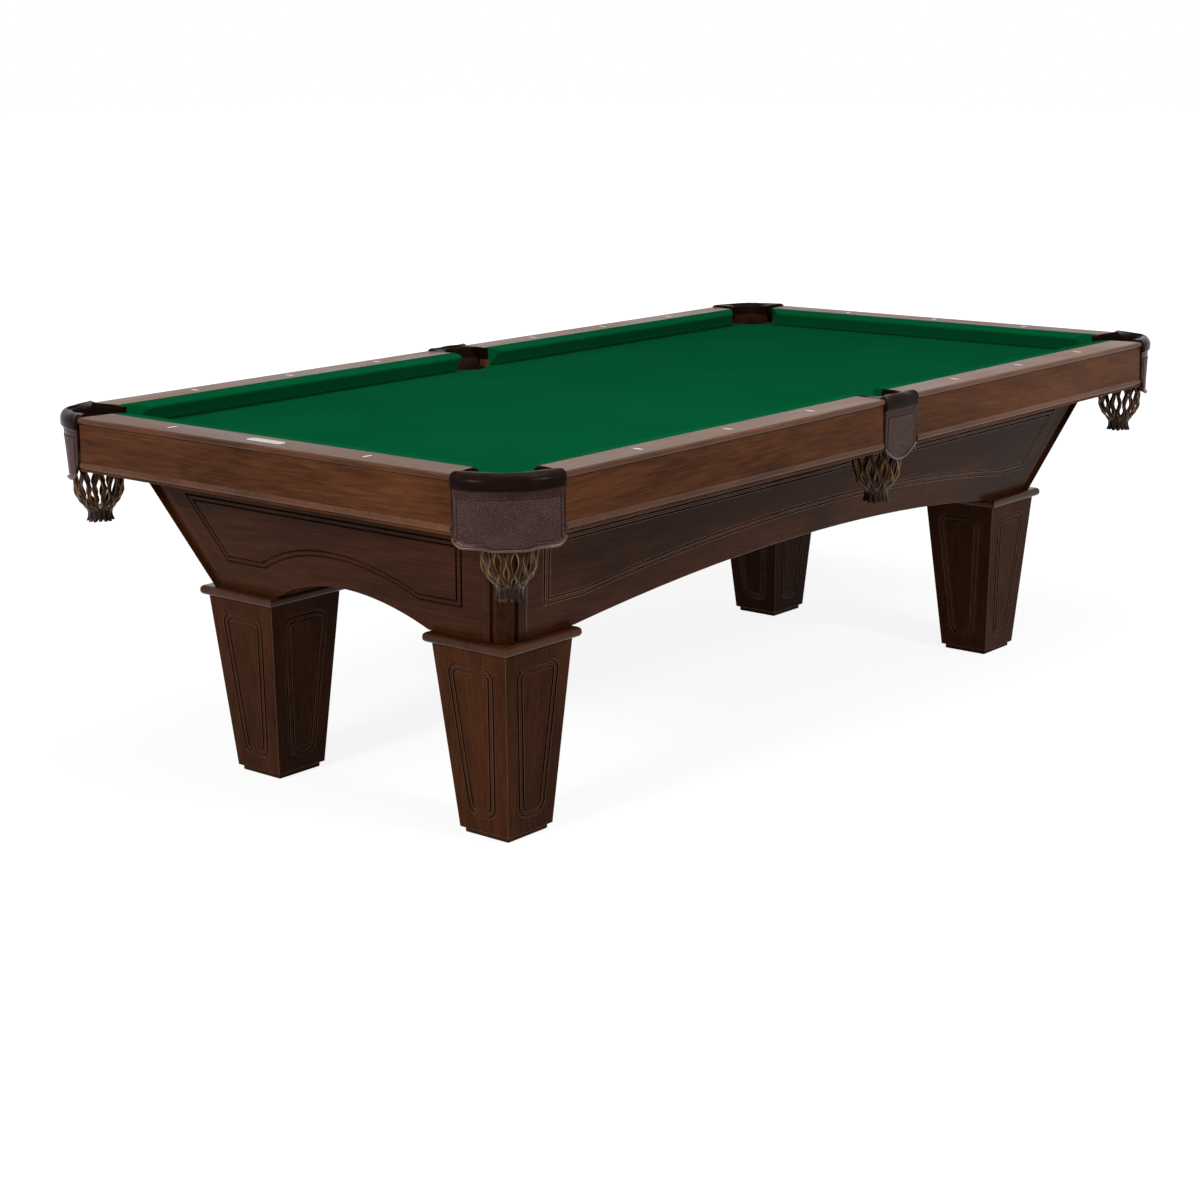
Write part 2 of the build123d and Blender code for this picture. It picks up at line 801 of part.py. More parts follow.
with BuildPart() as end_apron:
    for z in (cabinet_bottom, cabinet_top):
        with BuildSketch(Plane.XY.offset(z)):
            with Locations((half_at(cabinet_half_length, z) - apron_thick / 2, 0)):
                Rectangle(apron_thick, 2 * (half_at(cabinet_half_width, z) - post_reach))
    loft(ruled=True)
    with BuildSketch(Plane.YZ):
        add(end_arch)
    extrude(amount=2 * half_length, mode=Mode.SUBTRACT)
    with BuildSketch(pilot_floor):
        with Locations(*apron_screws):
            Circle(pilot_radius)
    extrude(amount=slate_screw_reach, mode=Mode.SUBTRACT)
    face = Plane(origin=(cabinet_half_length, 0, cabinet_bottom), x_dir=(0, 1, 0), z_dir=(1, 0, -cabinet_slope))
    for ring in end_rings:
        with BuildSketch(face):
            add(ring)
        extrude(amount=-groove_depth, mode=Mode.SUBTRACT)

with BuildPart() as side_apron:
    for z in (cabinet_bottom, cabinet_top):
        with BuildSketch(Plane.XY.offset(z)):
            with Locations((0, half_at(cabinet_half_width, z) - apron_thick / 2)):
                Rectangle(2 * (half_at(cabinet_half_length, z) - post_reach), apron_thick)
    loft(ruled=True)
    with BuildSketch(Plane.XZ):
        add(side_arch)
    extrude(amount=-2 * half_width, mode=Mode.SUBTRACT)
    face = Plane(origin=(0, cabinet_half_width, cabinet_bottom), x_dir=(-1, 0, 0), z_dir=(0, 1, -cabinet_slope))
    for ring in side_rings:
        with BuildSketch(face):
            add(ring)
        extrude(amount=-groove_depth, mode=Mode.SUBTRACT)

save(end_apron, "apron_foot")
save(turned(end_apron, -1, 1), "apron_head")
save(side_apron, "apron_left")
save(turned(side_apron, 1, -1), "apron_right")


def post_half(far):
    """Outline of a corner post on one face, from the flat to the apron, as (along, in) pairs."""
    return [
        (post_flat, -post_proud),
        (post_flat + post_strip, post_cove_depth),
        (post_flat + post_cove, post_cove_depth),
        (post_flat + post_cove + post_strip, 0),
        (far, 0),
        (far, apron_thick),
    ]


with BuildPart() as post:
    for z in (cabinet_bottom, cabinet_top):
        x = half_at(cabinet_half_length, z)
        y = half_at(cabinet_half_width, z)
        on_end = [(x - inward, y - along) for along, inward in post_half(post_reach)]
        on_side = [(x - along, y - inward) for along, inward in reversed(post_half(post_reach))]
        with BuildSketch(Plane.XY.offset(z)):
            with BuildLine():
                Polyline(*on_end, *on_side, close=True)
            make_face()
    loft(ruled=True)

for quarter, sx, sy in corners:
    save(turned(post, sx, sy), f"corner_post_{quarter}")

# Frame under the slates
beam_under = cabinet_top - beam_height
beam_low_y = half_at(cabinet_half_width, beam_under) - apron_thick
beam_top_y = half_at(cabinet_half_width, cabinet_top) - apron_thick
beam_low_x = half_at(cabinet_half_length, beam_under) - apron_thick
beam_top_x = half_at(cabinet_half_length, cabinet_top) - apron_thick
beam_near = slate_joint + beam_width / 2 + beam_joint

with BuildPart() as cross_beam:
    with BuildSketch(Plane.YZ.offset(slate_joint - beam_width / 2)):
        with BuildLine():
            Polyline(
                (-beam_low_y, beam_under),
                (beam_low_y, beam_under),
                (beam_top_y, cabinet_top),
                (-beam_top_y, cabinet_top),
                close=True,
            )
        make_face()
    extrude(amount=beam_width)
    with BuildSketch(pilot_floor):
        with Locations(*beam_screws):
            Circle(pilot_radius)
    extrude(amount=slate_screw_reach, mode=Mode.SUBTRACT)

with BuildPart() as end_beam:
    with BuildSketch(Plane.XZ):
        with BuildLine():
            Polyline(
                (beam_near, beam_under),
                (beam_low_x, beam_under),
                (beam_top_x, cabinet_top),
                (beam_near, cabinet_top),
                close=True,
            )
        make_face()
    extrude(amount=beam_width / 2, both=True)

outer_beams = [turned(beam, sx, 1).part for beam in (cross_beam, end_beam) for sx in (-1, 1)]

with BuildPart() as frame_beams:
    add(outer_beams)
    with BuildSketch(Plane.XY.offset(beam_under)):
        Rectangle(2 * (slate_joint - beam_width / 2 - beam_joint), beam_width)
    extrude(amount=beam_height)
save(frame_beams, "frame_beams")

# Mount blocks, caps and legs. The masters stand under the foot left corner.
block_x = cabinet_half_length - apron_thick - block_play
block_y = cabinet_half_width - apron_thick - block_play
block_corner = post_reach - apron_thick + block_play
leg_bolt_spots = [(leg_x - leg_bolt_spread / 2, leg_y - leg_bolt_spread / 2)]
leg_bolt_spots += [(leg_x + leg_bolt_spread / 2, leg_y - leg_bolt_spread / 2)]
leg_bolt_spots += [(leg_x - leg_bolt_spread / 2, leg_y + leg_bolt_spread / 2)]
block_top = cabinet_bottom + block_thick

with BuildPart() as mount_block:
    with BuildSketch(Plane.XY.offset(cabinet_bottom)):
        with BuildLine():
            Polyline(
                (arch_x, arch_y),
                (block_x, arch_y),
                (block_x, block_y - block_corner),
                (block_x - block_corner, block_y),
                (arch_x, block_y),
                close=True,
            )
        make_face()
        with Locations(*leg_bolt_spots):
            Circle(bolt_radius, mode=Mode.SUBTRACT)
    extrude(amount=block_thick)
save(all_quarters(mount_block), "leg_mount_blocks")

with BuildPart() as leg_cap:
    with BuildSketch(Plane.XY.offset(leg_top)):
        with Locations((leg_x, leg_y)):
            Rectangle(cap_width, cap_width)
        with Locations(*leg_bolt_spots):
            Circle(bolt_radius, mode=Mode.SUBTRACT)
    extrude(amount=cap_height)
    rims = leg_cap.edges().filter_by(GeomType.LINE).filter_by(lambda e: abs(e.tangent_at(0).Z) < 0.5)
    fillet(rims, cap_round)
save(all_quarters(leg_cap), "leg_caps")

with BuildPart() as leg_bolt:
    with Locations(*[(x, y, leg_top - leg_bolt_reach) for x, y in leg_bolt_spots]):
        Cylinder(bolt_radius, block_top - leg_top + leg_bolt_reach, align=(Align.CENTER, Align.CENTER, Align.MIN))
    with BuildSketch(Plane.XY.offset(block_top)):
        with Locations(*leg_bolt_spots):
            RegularPolygon(bolt_head, 6)
    extrude(amount=bolt_head_height)
save(all_quarters(leg_bolt), "leg_bolts")


def leg_panel(inset):
    """One groove of the panel moulding, drawn flat, to be laid on a face of a leg."""
    low = leg_panel_inset
    high = leg_height - leg_panel_inset
    low_half = leg_foot_width / 2 + leg_slope * low - leg_panel_inset
    high_half = leg_foot_width / 2 + leg_slope * high - leg_panel_inset
    low = low * leg_slant
    high = high * leg_slant
    with BuildSketch() as outline:
        with BuildLine():
            Polyline((-low_half, low), (low_half, low), (high_half, high), (-high_half, high), close=True)
        make_face()
        fillet(outline.vertices(), leg_panel_round + groove_insets[1] + groove_width)
    return groove(outline.sketch, inset)


leg_rings = [leg_panel(inset) for inset in groove_insets]
bore_width = foot_width + 2 * foot_play
hollow_low = leg_foot_width + 2 * leg_slope * (web_over - leg_gap) - 2 * leg_hollow_wall
hollow_high = leg_top_width - 2 * leg_slope * leg_head_thick - 2 * leg_hollow_wall

with BuildPart() as leg:
    for z, width in ((leg_gap, leg_foot_width), (leg_top, leg_top_width)):
        with BuildSketch(Plane.XY.offset(z)):
            with Locations((leg_x, leg_y)):
                Rectangle(width, width)
    loft(ruled=True)
    with BuildSketch(Plane.XY.offset(leg_gap)):
        with Locations((leg_x, leg_y)):
            Rectangle(bore_width, bore_width)
    extrude(amount=web_under - leg_gap, mode=Mode.SUBTRACT)
    for z, width in ((web_over, hollow_low), (leg_top - leg_head_thick, hollow_high)):
        with BuildSketch(Plane.XY.offset(z)):
            with Locations((leg_x, leg_y)):
                Rectangle(width, width)
    loft(ruled=True, mode=Mode.SUBTRACT)
    with BuildSketch(Plane.XY.offset(web_under)):
        with Locations((leg_x, leg_y)):
            Circle(stud_radius + stud_play)
    extrude(amount=web_thick, mode=Mode.SUBTRACT)
    with BuildSketch(Plane.XY.offset(leg_top - leg_bolt_reach)):
        with Locations(*leg_bolt_spots):
            Circle(bolt_radius)
    extrude(amount=leg_bolt_reach, mode=Mode.SUBTRACT)
    for angle in (0, 90, 180, 270):
        wx = cos(radians(angle))
        wy = sin(radians(angle))
        out = leg_foot_width / 2
        face = Plane(
            origin=(leg_x + out * wx, leg_y + out * wy, leg_gap),
            x_dir=(-wy, wx, 0),
            z_dir=(wx, wy, -leg_slope),
        )
        for ring in leg_rings:
            with BuildSketch(face):
                add(ring)
            extrude(amount=-groove_depth, mode=Mode.SUBTRACT)

with BuildPart() as foot:
    with BuildSketch():
        with Locations((leg_x, leg_y)):
            Rectangle(foot_width, foot_width)
    extrude(amount=foot_height)
    chamfer(foot.faces().sort_by(Axis.Z)[0].edges(), foot_bevel)
    with BuildSketch(Plane.XY.offset(stud_seat)):
        with Locations((leg_x, leg_y)):
            Circle(stud_radius + stud_play)
    extrude(amount=foot_height - stud_seat, mode=Mode.SUBTRACT)
    with BuildSketch():
        with Locations((leg_x, leg_y)):
            Circle(key_hole)
    extrude(amount=stud_seat, mode=Mode.SUBTRACT)

with BuildPart() as stud:
    with BuildSketch(Plane.XY.offset(stud_seat)):
        with Locations((leg_x, leg_y)):
            Circle(stud_radius)
    extrude(amount=stud_length)
    with BuildSketch(Plane.XY.offset(foot_height)):
        with Locations((leg_x, leg_y)):
            Circle(flange_radius)
    extrude(amount=flange_height)
    with BuildSketch(Plane.XY.offset(stud_seat)):
        with Locations((leg_x, leg_y)):
            RegularPolygon(key_flats / 2, 6, major_radius=False)
    extrude(amount=key_depth, mode=Mode.SUBTRACT)

with BuildPart() as nut:
    with BuildSketch(Plane.XY.offset(nut_under)):
        with Locations((leg_x, leg_y)):
            RegularPolygon(nut_flats / 2, 6, major_radius=False)
            Circle(stud_radius + stud_play, mode=Mode.SUBTRACT)
    extrude(amount=nut_height)
save(all_quarters(nut), "leveler_nuts")

for quarter, sx, sy in corners:
    save(turned(leg, sx, sy), f"leg_{quarter}")
    save(turned(foot, sx, sy), f"leveler_foot_{quarter}")
    save(turned(stud, sx, sy), f"leveler_stud_{quarter}")
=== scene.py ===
import logging
import math
from dataclasses import dataclass
from enum import Enum

import bmesh
import bpy
from bpy.types import Material, Mesh, Node, NodeTree, Object
from mathutils import Matrix, Vector


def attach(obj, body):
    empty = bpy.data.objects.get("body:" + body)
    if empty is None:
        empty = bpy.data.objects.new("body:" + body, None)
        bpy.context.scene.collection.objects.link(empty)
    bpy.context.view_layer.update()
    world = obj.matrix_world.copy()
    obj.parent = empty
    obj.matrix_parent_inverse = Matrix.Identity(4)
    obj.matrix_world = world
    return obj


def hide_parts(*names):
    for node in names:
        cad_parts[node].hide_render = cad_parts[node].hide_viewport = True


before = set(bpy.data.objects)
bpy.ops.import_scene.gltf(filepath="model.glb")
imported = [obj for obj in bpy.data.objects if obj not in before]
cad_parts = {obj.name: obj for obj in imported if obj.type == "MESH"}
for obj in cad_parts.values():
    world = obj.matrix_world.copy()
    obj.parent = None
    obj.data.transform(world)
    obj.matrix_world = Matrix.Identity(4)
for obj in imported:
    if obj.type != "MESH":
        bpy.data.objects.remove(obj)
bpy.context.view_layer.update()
LOG = logging.getLogger("pool_table")

Pair = tuple[float, float]
Triple = tuple[float, float, float]
Spot = tuple[Vector, Vector, Vector]
Port = str | int
Paint = int | list[int]
WHITE = (1.0, 1.0, 1.0, 1.0)
SAME_POINT = 1e-6
FACE_WEIGHT = 90


@dataclass(frozen=True)
class TableSizes:
    """Sizes of the table in metres, as its solids have them."""

    half_length: float = 1.23825
    half_width: float = 0.67945
    nose_x: float = 1.1176
    nose_y: float = 0.5588
    rail_top: float = 0.800
    bed: float = 0.756
    knee_depth: float = 0.082
    corner_cut: float = 0.148
    corner_knee: float = 0.016
    corner_mouth: float = 0.088
    side_gap: float = 0.0655
    side_knee: float = 0.0585
    side_mouth: float = 0.0667
    hole: float = 0.050
    corner_x: float = 1.1486
    corner_y: float = 0.5898
    side_y: float = 0.6148
    iron_under: float = 0.774
    iron_top: float = 0.8005
    iron_crown: float = 0.0055
    iron_proud: float = 0.005
    arm_end: float = 0.090
    slate_x: float = 1.19825
    slate_y: float = 0.63945
    slate_hole: float = 0.054
    collar_under: float = 0.735
    sight_pitch: float = 0.2794
    sight_inset: float = 0.0425

    @property
    def arc_x(self) -> float:
        """Middle of the rounded corner, along the table."""
        return self.half_length - self.corner_cut

    @property
    def arc_y(self) -> float:
        """Middle of the rounded corner, across the table."""
        return self.half_width - self.corner_cut


SIZES = TableSizes()


class Quarter(Enum):
    """The four corners of the table, as signs along X and Y."""

    HEAD_RIGHT = (-1, -1)
    HEAD_LEFT = (-1, 1)
    FOOT_RIGHT = (1, -1)
    FOOT_LEFT = (1, 1)

    @property
    def node(self) -> str:
        """How the solids of this corner are named."""
        return self.name.lower()


class Flank(Enum):
    """The two long sides of the table, as signs along Y."""

    SIDE_RIGHT = -1
    SIDE_LEFT = 1

    @property
    def node(self) -> str:
        """How the solids of this side pocket are named."""
        return self.name.lower()


def pockets() -> list[tuple[str, bool, int, int]]:
    """Name of each pocket, whether it is a side pocket, and its signs along X and Y."""
    corners = [(quarter.node, False, *quarter.value) for quarter in Quarter]
    return corners + [(flank.node, True, 1, flank.value) for flank in Flank]


class Grain(Enum):
    """Which way the wood grain of a piece runs, as a turn of its pattern."""

    ALONG_X = (0.0, 0.0, 0.0)
    ALONG_Y = (0.0, 0.0, math.pi / 2)
    ALONG_Z = (0.0, math.pi / 2, 0.0)


class Tree:
    """A node tree under construction, with short calls to add and join its nodes."""

    def __init__(self, tree: NodeTree) -> None:
        """Start with the emptied tree of a material, the world or a modifier."""
        self.tree = tree
        self.tree.nodes.clear()

    def add(self, kind: str, values: dict | None = None, **settings: object) -> Node:
        """Add a node.

        Args:
            kind: The node's type.
            values: Values of its inputs, by name or index.
            settings: Properties of the node itself.

        Returns:
            The node.
        """
        node = self.tree.nodes.new(kind)
        for key, value in settings.items():
            setattr(node, key, value)
        for key, value in (values or {}).items():
            node.inputs[key].default_value = value
        return node

    def join(self, source: Node, out: Port, target: Node, into: Port) -> None:
        """Join an output of one node to an input of another."""
        self.tree.links.new(source.outputs[out], target.inputs[into])


class Shader(Tree):
    """A material under construction."""

    def __init__(self, name: str) -> None:
        """Start an empty material.

        Args:
            name: What the material is called.
        """
        self.material = bpy.data.materials.new(name)
        self.material.use_nodes = True
        super().__init__(self.material.node_tree)
        self.output = self.add("ShaderNodeOutputMaterial")

    def place(self, scale: Triple, turn: Triple = (0, 0, 0)) -> Node:
        """Coordinates on the piece, turned and then stretched.

        Args:
            scale: Stretch of the pattern along each axis.
            turn: Turn of the pattern before it is stretched.

        Returns:
            The node that gives them.
        """
        coords = self.add("ShaderNodeTexCoord")
        turned = self.add("ShaderNodeMapping", {"Rotation": turn})
        stretched = self.add("ShaderNodeMapping", {"Scale": scale})
        self.join(coords, "Object", turned, "Vector")
        self.join(turned, "Vector", stretched, "Vector")
        return stretched

    def noise(self, at: Node, scale: float, detail: float, rough: float = 0.5, bend: float = 0.0) -> Node:
        """Add a noise pattern.

        Args:
            at: Node that gives its coordinates.
            scale: How fine it is.
            detail: How many finer layers it has.
            rough: How strong those are.
            bend: How much it is warped.

        Returns:
            The noise node.
        """
        values = {"Scale": scale, "Detail": detail, "Roughness": rough, "Distortion": bend}
        node = self.add("ShaderNodeTexNoise", values)
        self.join(at, "Vector", node, "Vector")
        return node

    def ramp(self, source: Node, out: Port, stops: list[tuple[float, Triple]]) -> Node:
        """Colour a pattern.

        Args:
            source: Node that gives the pattern.
            out: Its output.
            stops: Places and colours along the ramp.

        Returns:
            The colour ramp.
        """
        node = self.add("ShaderNodeValToRGB")
        marks = node.color_ramp.elements
        while len(marks) < len(stops):
            marks.new(0.5)
        for mark, (place, colour) in zip(marks, stops):
            mark.position = place
            mark.color = (*colour, 1.0)
        self.join(source, out, node, "Fac")
        return node

    def span(self, source: Node, out: Port, low: float, high: float) -> Node:
        """Spread a pattern over a range.

        Args:
            source: Node that gives the pattern.
            out: Its output.
            low: Value where the pattern is 0.3.
            high: Value where it is 0.7.

        Returns:
            The node with the new value.
        """
        values = {"From Min": 0.3, "From Max": 0.7, "To Min": low, "To Max": high}
        node = self.add("ShaderNodeMapRange", values)
        self.join(source, out, node, "Value")
        return node

    def sum(self, first: Node, second: Node, share: float) -> Node:
        """Mix two patterns.

        Args:
            first: The first pattern.
            second: The second one.
            share: How much of the second.

        Returns:
            The node with the mixed value.
        """
        node = self.add("ShaderNodeMix", {"Factor": share}, data_type="FLOAT")
        self.join(first, 0, node, 2)
        self.join(second, 0, node, 3)
        return node

    def relief(
        self, source: Node, out: Port, strength: float, depth: float, under: Node | None = None
    ) -> Node:
        """Raise a pattern from the surface.

        Args:
            source: Node that gives the height.
            out: Its output.
            strength: How strong the relief is.
            depth: Its depth in metres.
            under: A relief that it lies on.

        Returns:
            The bump node.
        """
        node = self.add("ShaderNodeBump", {"Strength": strength, "Distance": depth})
        self.join(source, out, node, "Height")
        if under is not None:
            self.join(under, "Normal", node, "Normal")
        return node

    def surface(self, colour: Node, out: Port, rough: Node, bump: Node, **values: object) -> Material:
        """Finish the material.

        Args:
            colour: Node that gives the colour.
            out: Its output.
            rough: Node that gives the roughness.
            bump: Node that gives the relief.
            values: Other values of the surface, with underscores for spaces.

        Returns:
            The material.
        """
        plain = {key.replace("_", " "): value for key, value in values.items()}
        body = self.add("ShaderNodeBsdfPrincipled", plain)
        self.join(colour, out, body, "Base Color")
        self.join(rough, 0, body, "Roughness")
        self.join(bump, "Normal", body, "Normal")
        self.join(body, "BSDF", self.output, "Surface")
        return self.material


@dataclass(frozen=True)
class Stain:
    """Tones of a stained wood, from its dark streaks to its light ones."""

    dark: Triple
    middle: Triple
    light: Triple


CHESTNUT = Stain((0.054, 0.0180, 0.0070), (0.110, 0.0375, 0.0145), (0.178, 0.0645, 0.0262))
SIDE_TOP = Stain((0.062, 0.0240, 0.0105), (0.114, 0.0440, 0.0190), (0.176, 0.0700, 0.0310))
# The end rail tops take a darker copy of the rail-top stain: painted shade.
END_TOP_SHADED = Stain((0.050, 0.0175, 0.0072), (0.098, 0.0345, 0.0138), (0.155, 0.0575, 0.0240))
CABINET = Stain((0.030, 0.0096, 0.0040), (0.058, 0.0185, 0.0074), (0.098, 0.0325, 0.0130))
# Broken-edge stain, lighter than the cabinet stain: partly wear, partly a painted highlight along edges that
# catch the light.
WEAR_AND_HIGHLIGHT = Stain((0.060, 0.0210, 0.0088), (0.105, 0.0380, 0.0160), (0.160, 0.0600, 0.0260))
# Planed frame wood, darkened so the frame under the table looks dark: its own tone plus painted shade.
PLANED_SHADED = Stain((0.070, 0.036, 0.017), (0.110, 0.060, 0.029), (0.160, 0.092, 0.046))


@dataclass(frozen=True)
class Wood:
    """Wood with a fine, straight grain under stain and lacquer."""

    name: str
    grain: Grain
    stain: Stain = CHESTNUT
    shine: float = 0.034
    smooth: float = 0.21

    def build(self) -> Material:
        """Make the material.

        Returns:
            The wood.
        """
        shader = Shader(self.name)
        broad = shader.place((0.9, 3.2, 3.2), self.grain.value)
        narrow = shader.place((1.6, 26.0, 26.0), self.grain.value)
        figure = shader.noise(broad, 3.4, 5, 0.6, 0.9)
        mottle = shader.noise(broad, 1.1, 3, 0.55, 0.3)
        fibre = shader.noise(narrow, 7.0, 4, 0.65, 0.15)
        pores = shader.noise(narrow, 22.0, 2, 0.5)
        streak = shader.sum(figure, fibre, 0.52)
        tone = shader.sum(streak, mottle, 0.34)
        stops = [(0.385, self.stain.dark), (0.49, self.stain.middle), (0.615, self.stain.light)]
        colour = shader.ramp(tone, 0, stops)
        gloss = shader.span(figure, 0, self.smooth - 0.04, self.smooth + 0.12)
        bump = shader.relief(pores, 0, 0.10, 0.0005)
        bump = shader.relief(fibre, 0, 0.06, 0.0008, bump)
        lacquer = {"Specular_IOR_Level": self.shine, "Specular_Tint": (1.0, 0.78, 0.62, 1.0)}
        return shader.surface(colour, 0, gloss, bump, **lacquer)


@dataclass(frozen=True)
class Baize:
    """Napped green wool cloth with a tight plain weave; band is one thread of the pattern unscaled."""

    name: str
    deep: Triple
    bright: Triple
    pitch: float = 0.0011
    band: float = 0.31416

    def build(self) -> Material:
        """Make the material.

        Returns:
            The cloth.
        """
        shader = Shader(self.name)
        plain = shader.place((1.0, 1.0, 1.0))
        values = {"Scale": self.band / self.pitch, "Distortion": 0.6, "Detail": 1.0}
        weave = shader.add("ShaderNodeMath", operation="MULTIPLY")
        for index, axis in enumerate("XY"):
            threads = shader.add("ShaderNodeTexWave", values, bands_direction=axis)
            shader.join(plain, "Vector", threads, "Vector")
            shader.join(threads, "Fac", weave, index)
        nap = shader.noise(plain, 620.0, 3, 0.7)
        cloud = shader.noise(plain, 2.6, 3, 0.5)
        tone = shader.sum(nap, cloud, 0.45)
        colour = shader.ramp(tone, 0, [(0.34, self.deep), (0.66, self.bright)])
        rough = shader.span(nap, 0, 0.86, 0.98)
        bump = shader.relief(weave, 0, 0.30, 0.0004)
        bump = shader.relief(nap, 0, 0.25, 0.0005, bump)
        nap_values = {"Sheen_Weight": 0.012, "Sheen_Roughness": 0.5, "Sheen_Tint": (0.25, 0.8, 0.5, 1.0)}
        return shader.surface(colour, 0, rough, bump, Specular_IOR_Level=0.0, **nap_values)


@dataclass(frozen=True)
class Hide:
    """Waxed leather with a fine pebble and soft creases."""

    name: str
    deep: Triple
    bright: Triple
    smooth: float = 0.34
    pebble: float = 0.15
    shine: float = 0.20
    crease: float = 0.18

    def build(self) -> Material:
        """Make the material.

        Returns:
            The leather.
        """
        shader = Shader(self.name)
        plain = shader.place((1.0, 1.0, 1.0))
        cells = shader.add("ShaderNodeTexVoronoi", {"Scale": 620.0, "Randomness": 0.9}, feature="SMOOTH_F1")
        shader.join(plain, "Vector", cells, "Vector")
        crease = shader.noise(plain, 95.0, 4, 0.6, 0.8)
        stain = shader.noise(plain, 24.0, 4, 0.6, 0.4)
        tone = shader.sum(stain, crease, 0.35)
        colour = shader.ramp(tone, 0, [(0.32, self.deep), (0.70, self.bright)])
        rough = shader.span(crease, 0, self.smooth - 0.05, self.smooth + 0.14)
        bump = shader.relief(cells, "Distance", self.pebble, 0.0003)
        bump = shader.relief(crease, 0, self.crease, 0.0008, bump)
        wax = {"Specular_IOR_Level": self.shine, "Specular_Tint": (1.0, 0.76, 0.66, 1.0)}
        return shader.surface(colour, 0, rough, bump, **wax)


@dataclass(frozen=True)
class Bare:
    """A hard bare surface, mottled or brushed: metal, stone, inlay or thread."""

    name: str
    deep: Triple
    bright: Triple
    stretch: Triple
    fine: float
    smooth: float
    metal: float = 0.0
    shine: float = 0.0
    depth: float = 0.0003

    def build(self) -> Material:
        """Make the material.

        Returns:
            The surface.
        """
        shader = Shader(self.name)
        at = shader.place(self.stretch)
        brushed = shader.noise(at, self.fine, 5, 0.65, 0.2)
        cloud = shader.noise(at, self.fine / 9, 3, 0.5, 0.6)
        tone = shader.sum(brushed, cloud, 0.5)
        colour = shader.ramp(tone, 0, [(0.32, self.deep), (0.68, self.bright)])
        rough = shader.span(brushed, 0, self.smooth - 0.06, self.smooth + 0.12)
        bump = shader.relief(brushed, 0, 0.18, self.depth)
        coat = {"Coat_Weight": self.shine, "Coat_Roughness": 0.08}
        return shader.surface(colour, 0, rough, bump, Metallic=self.metal, **coat)


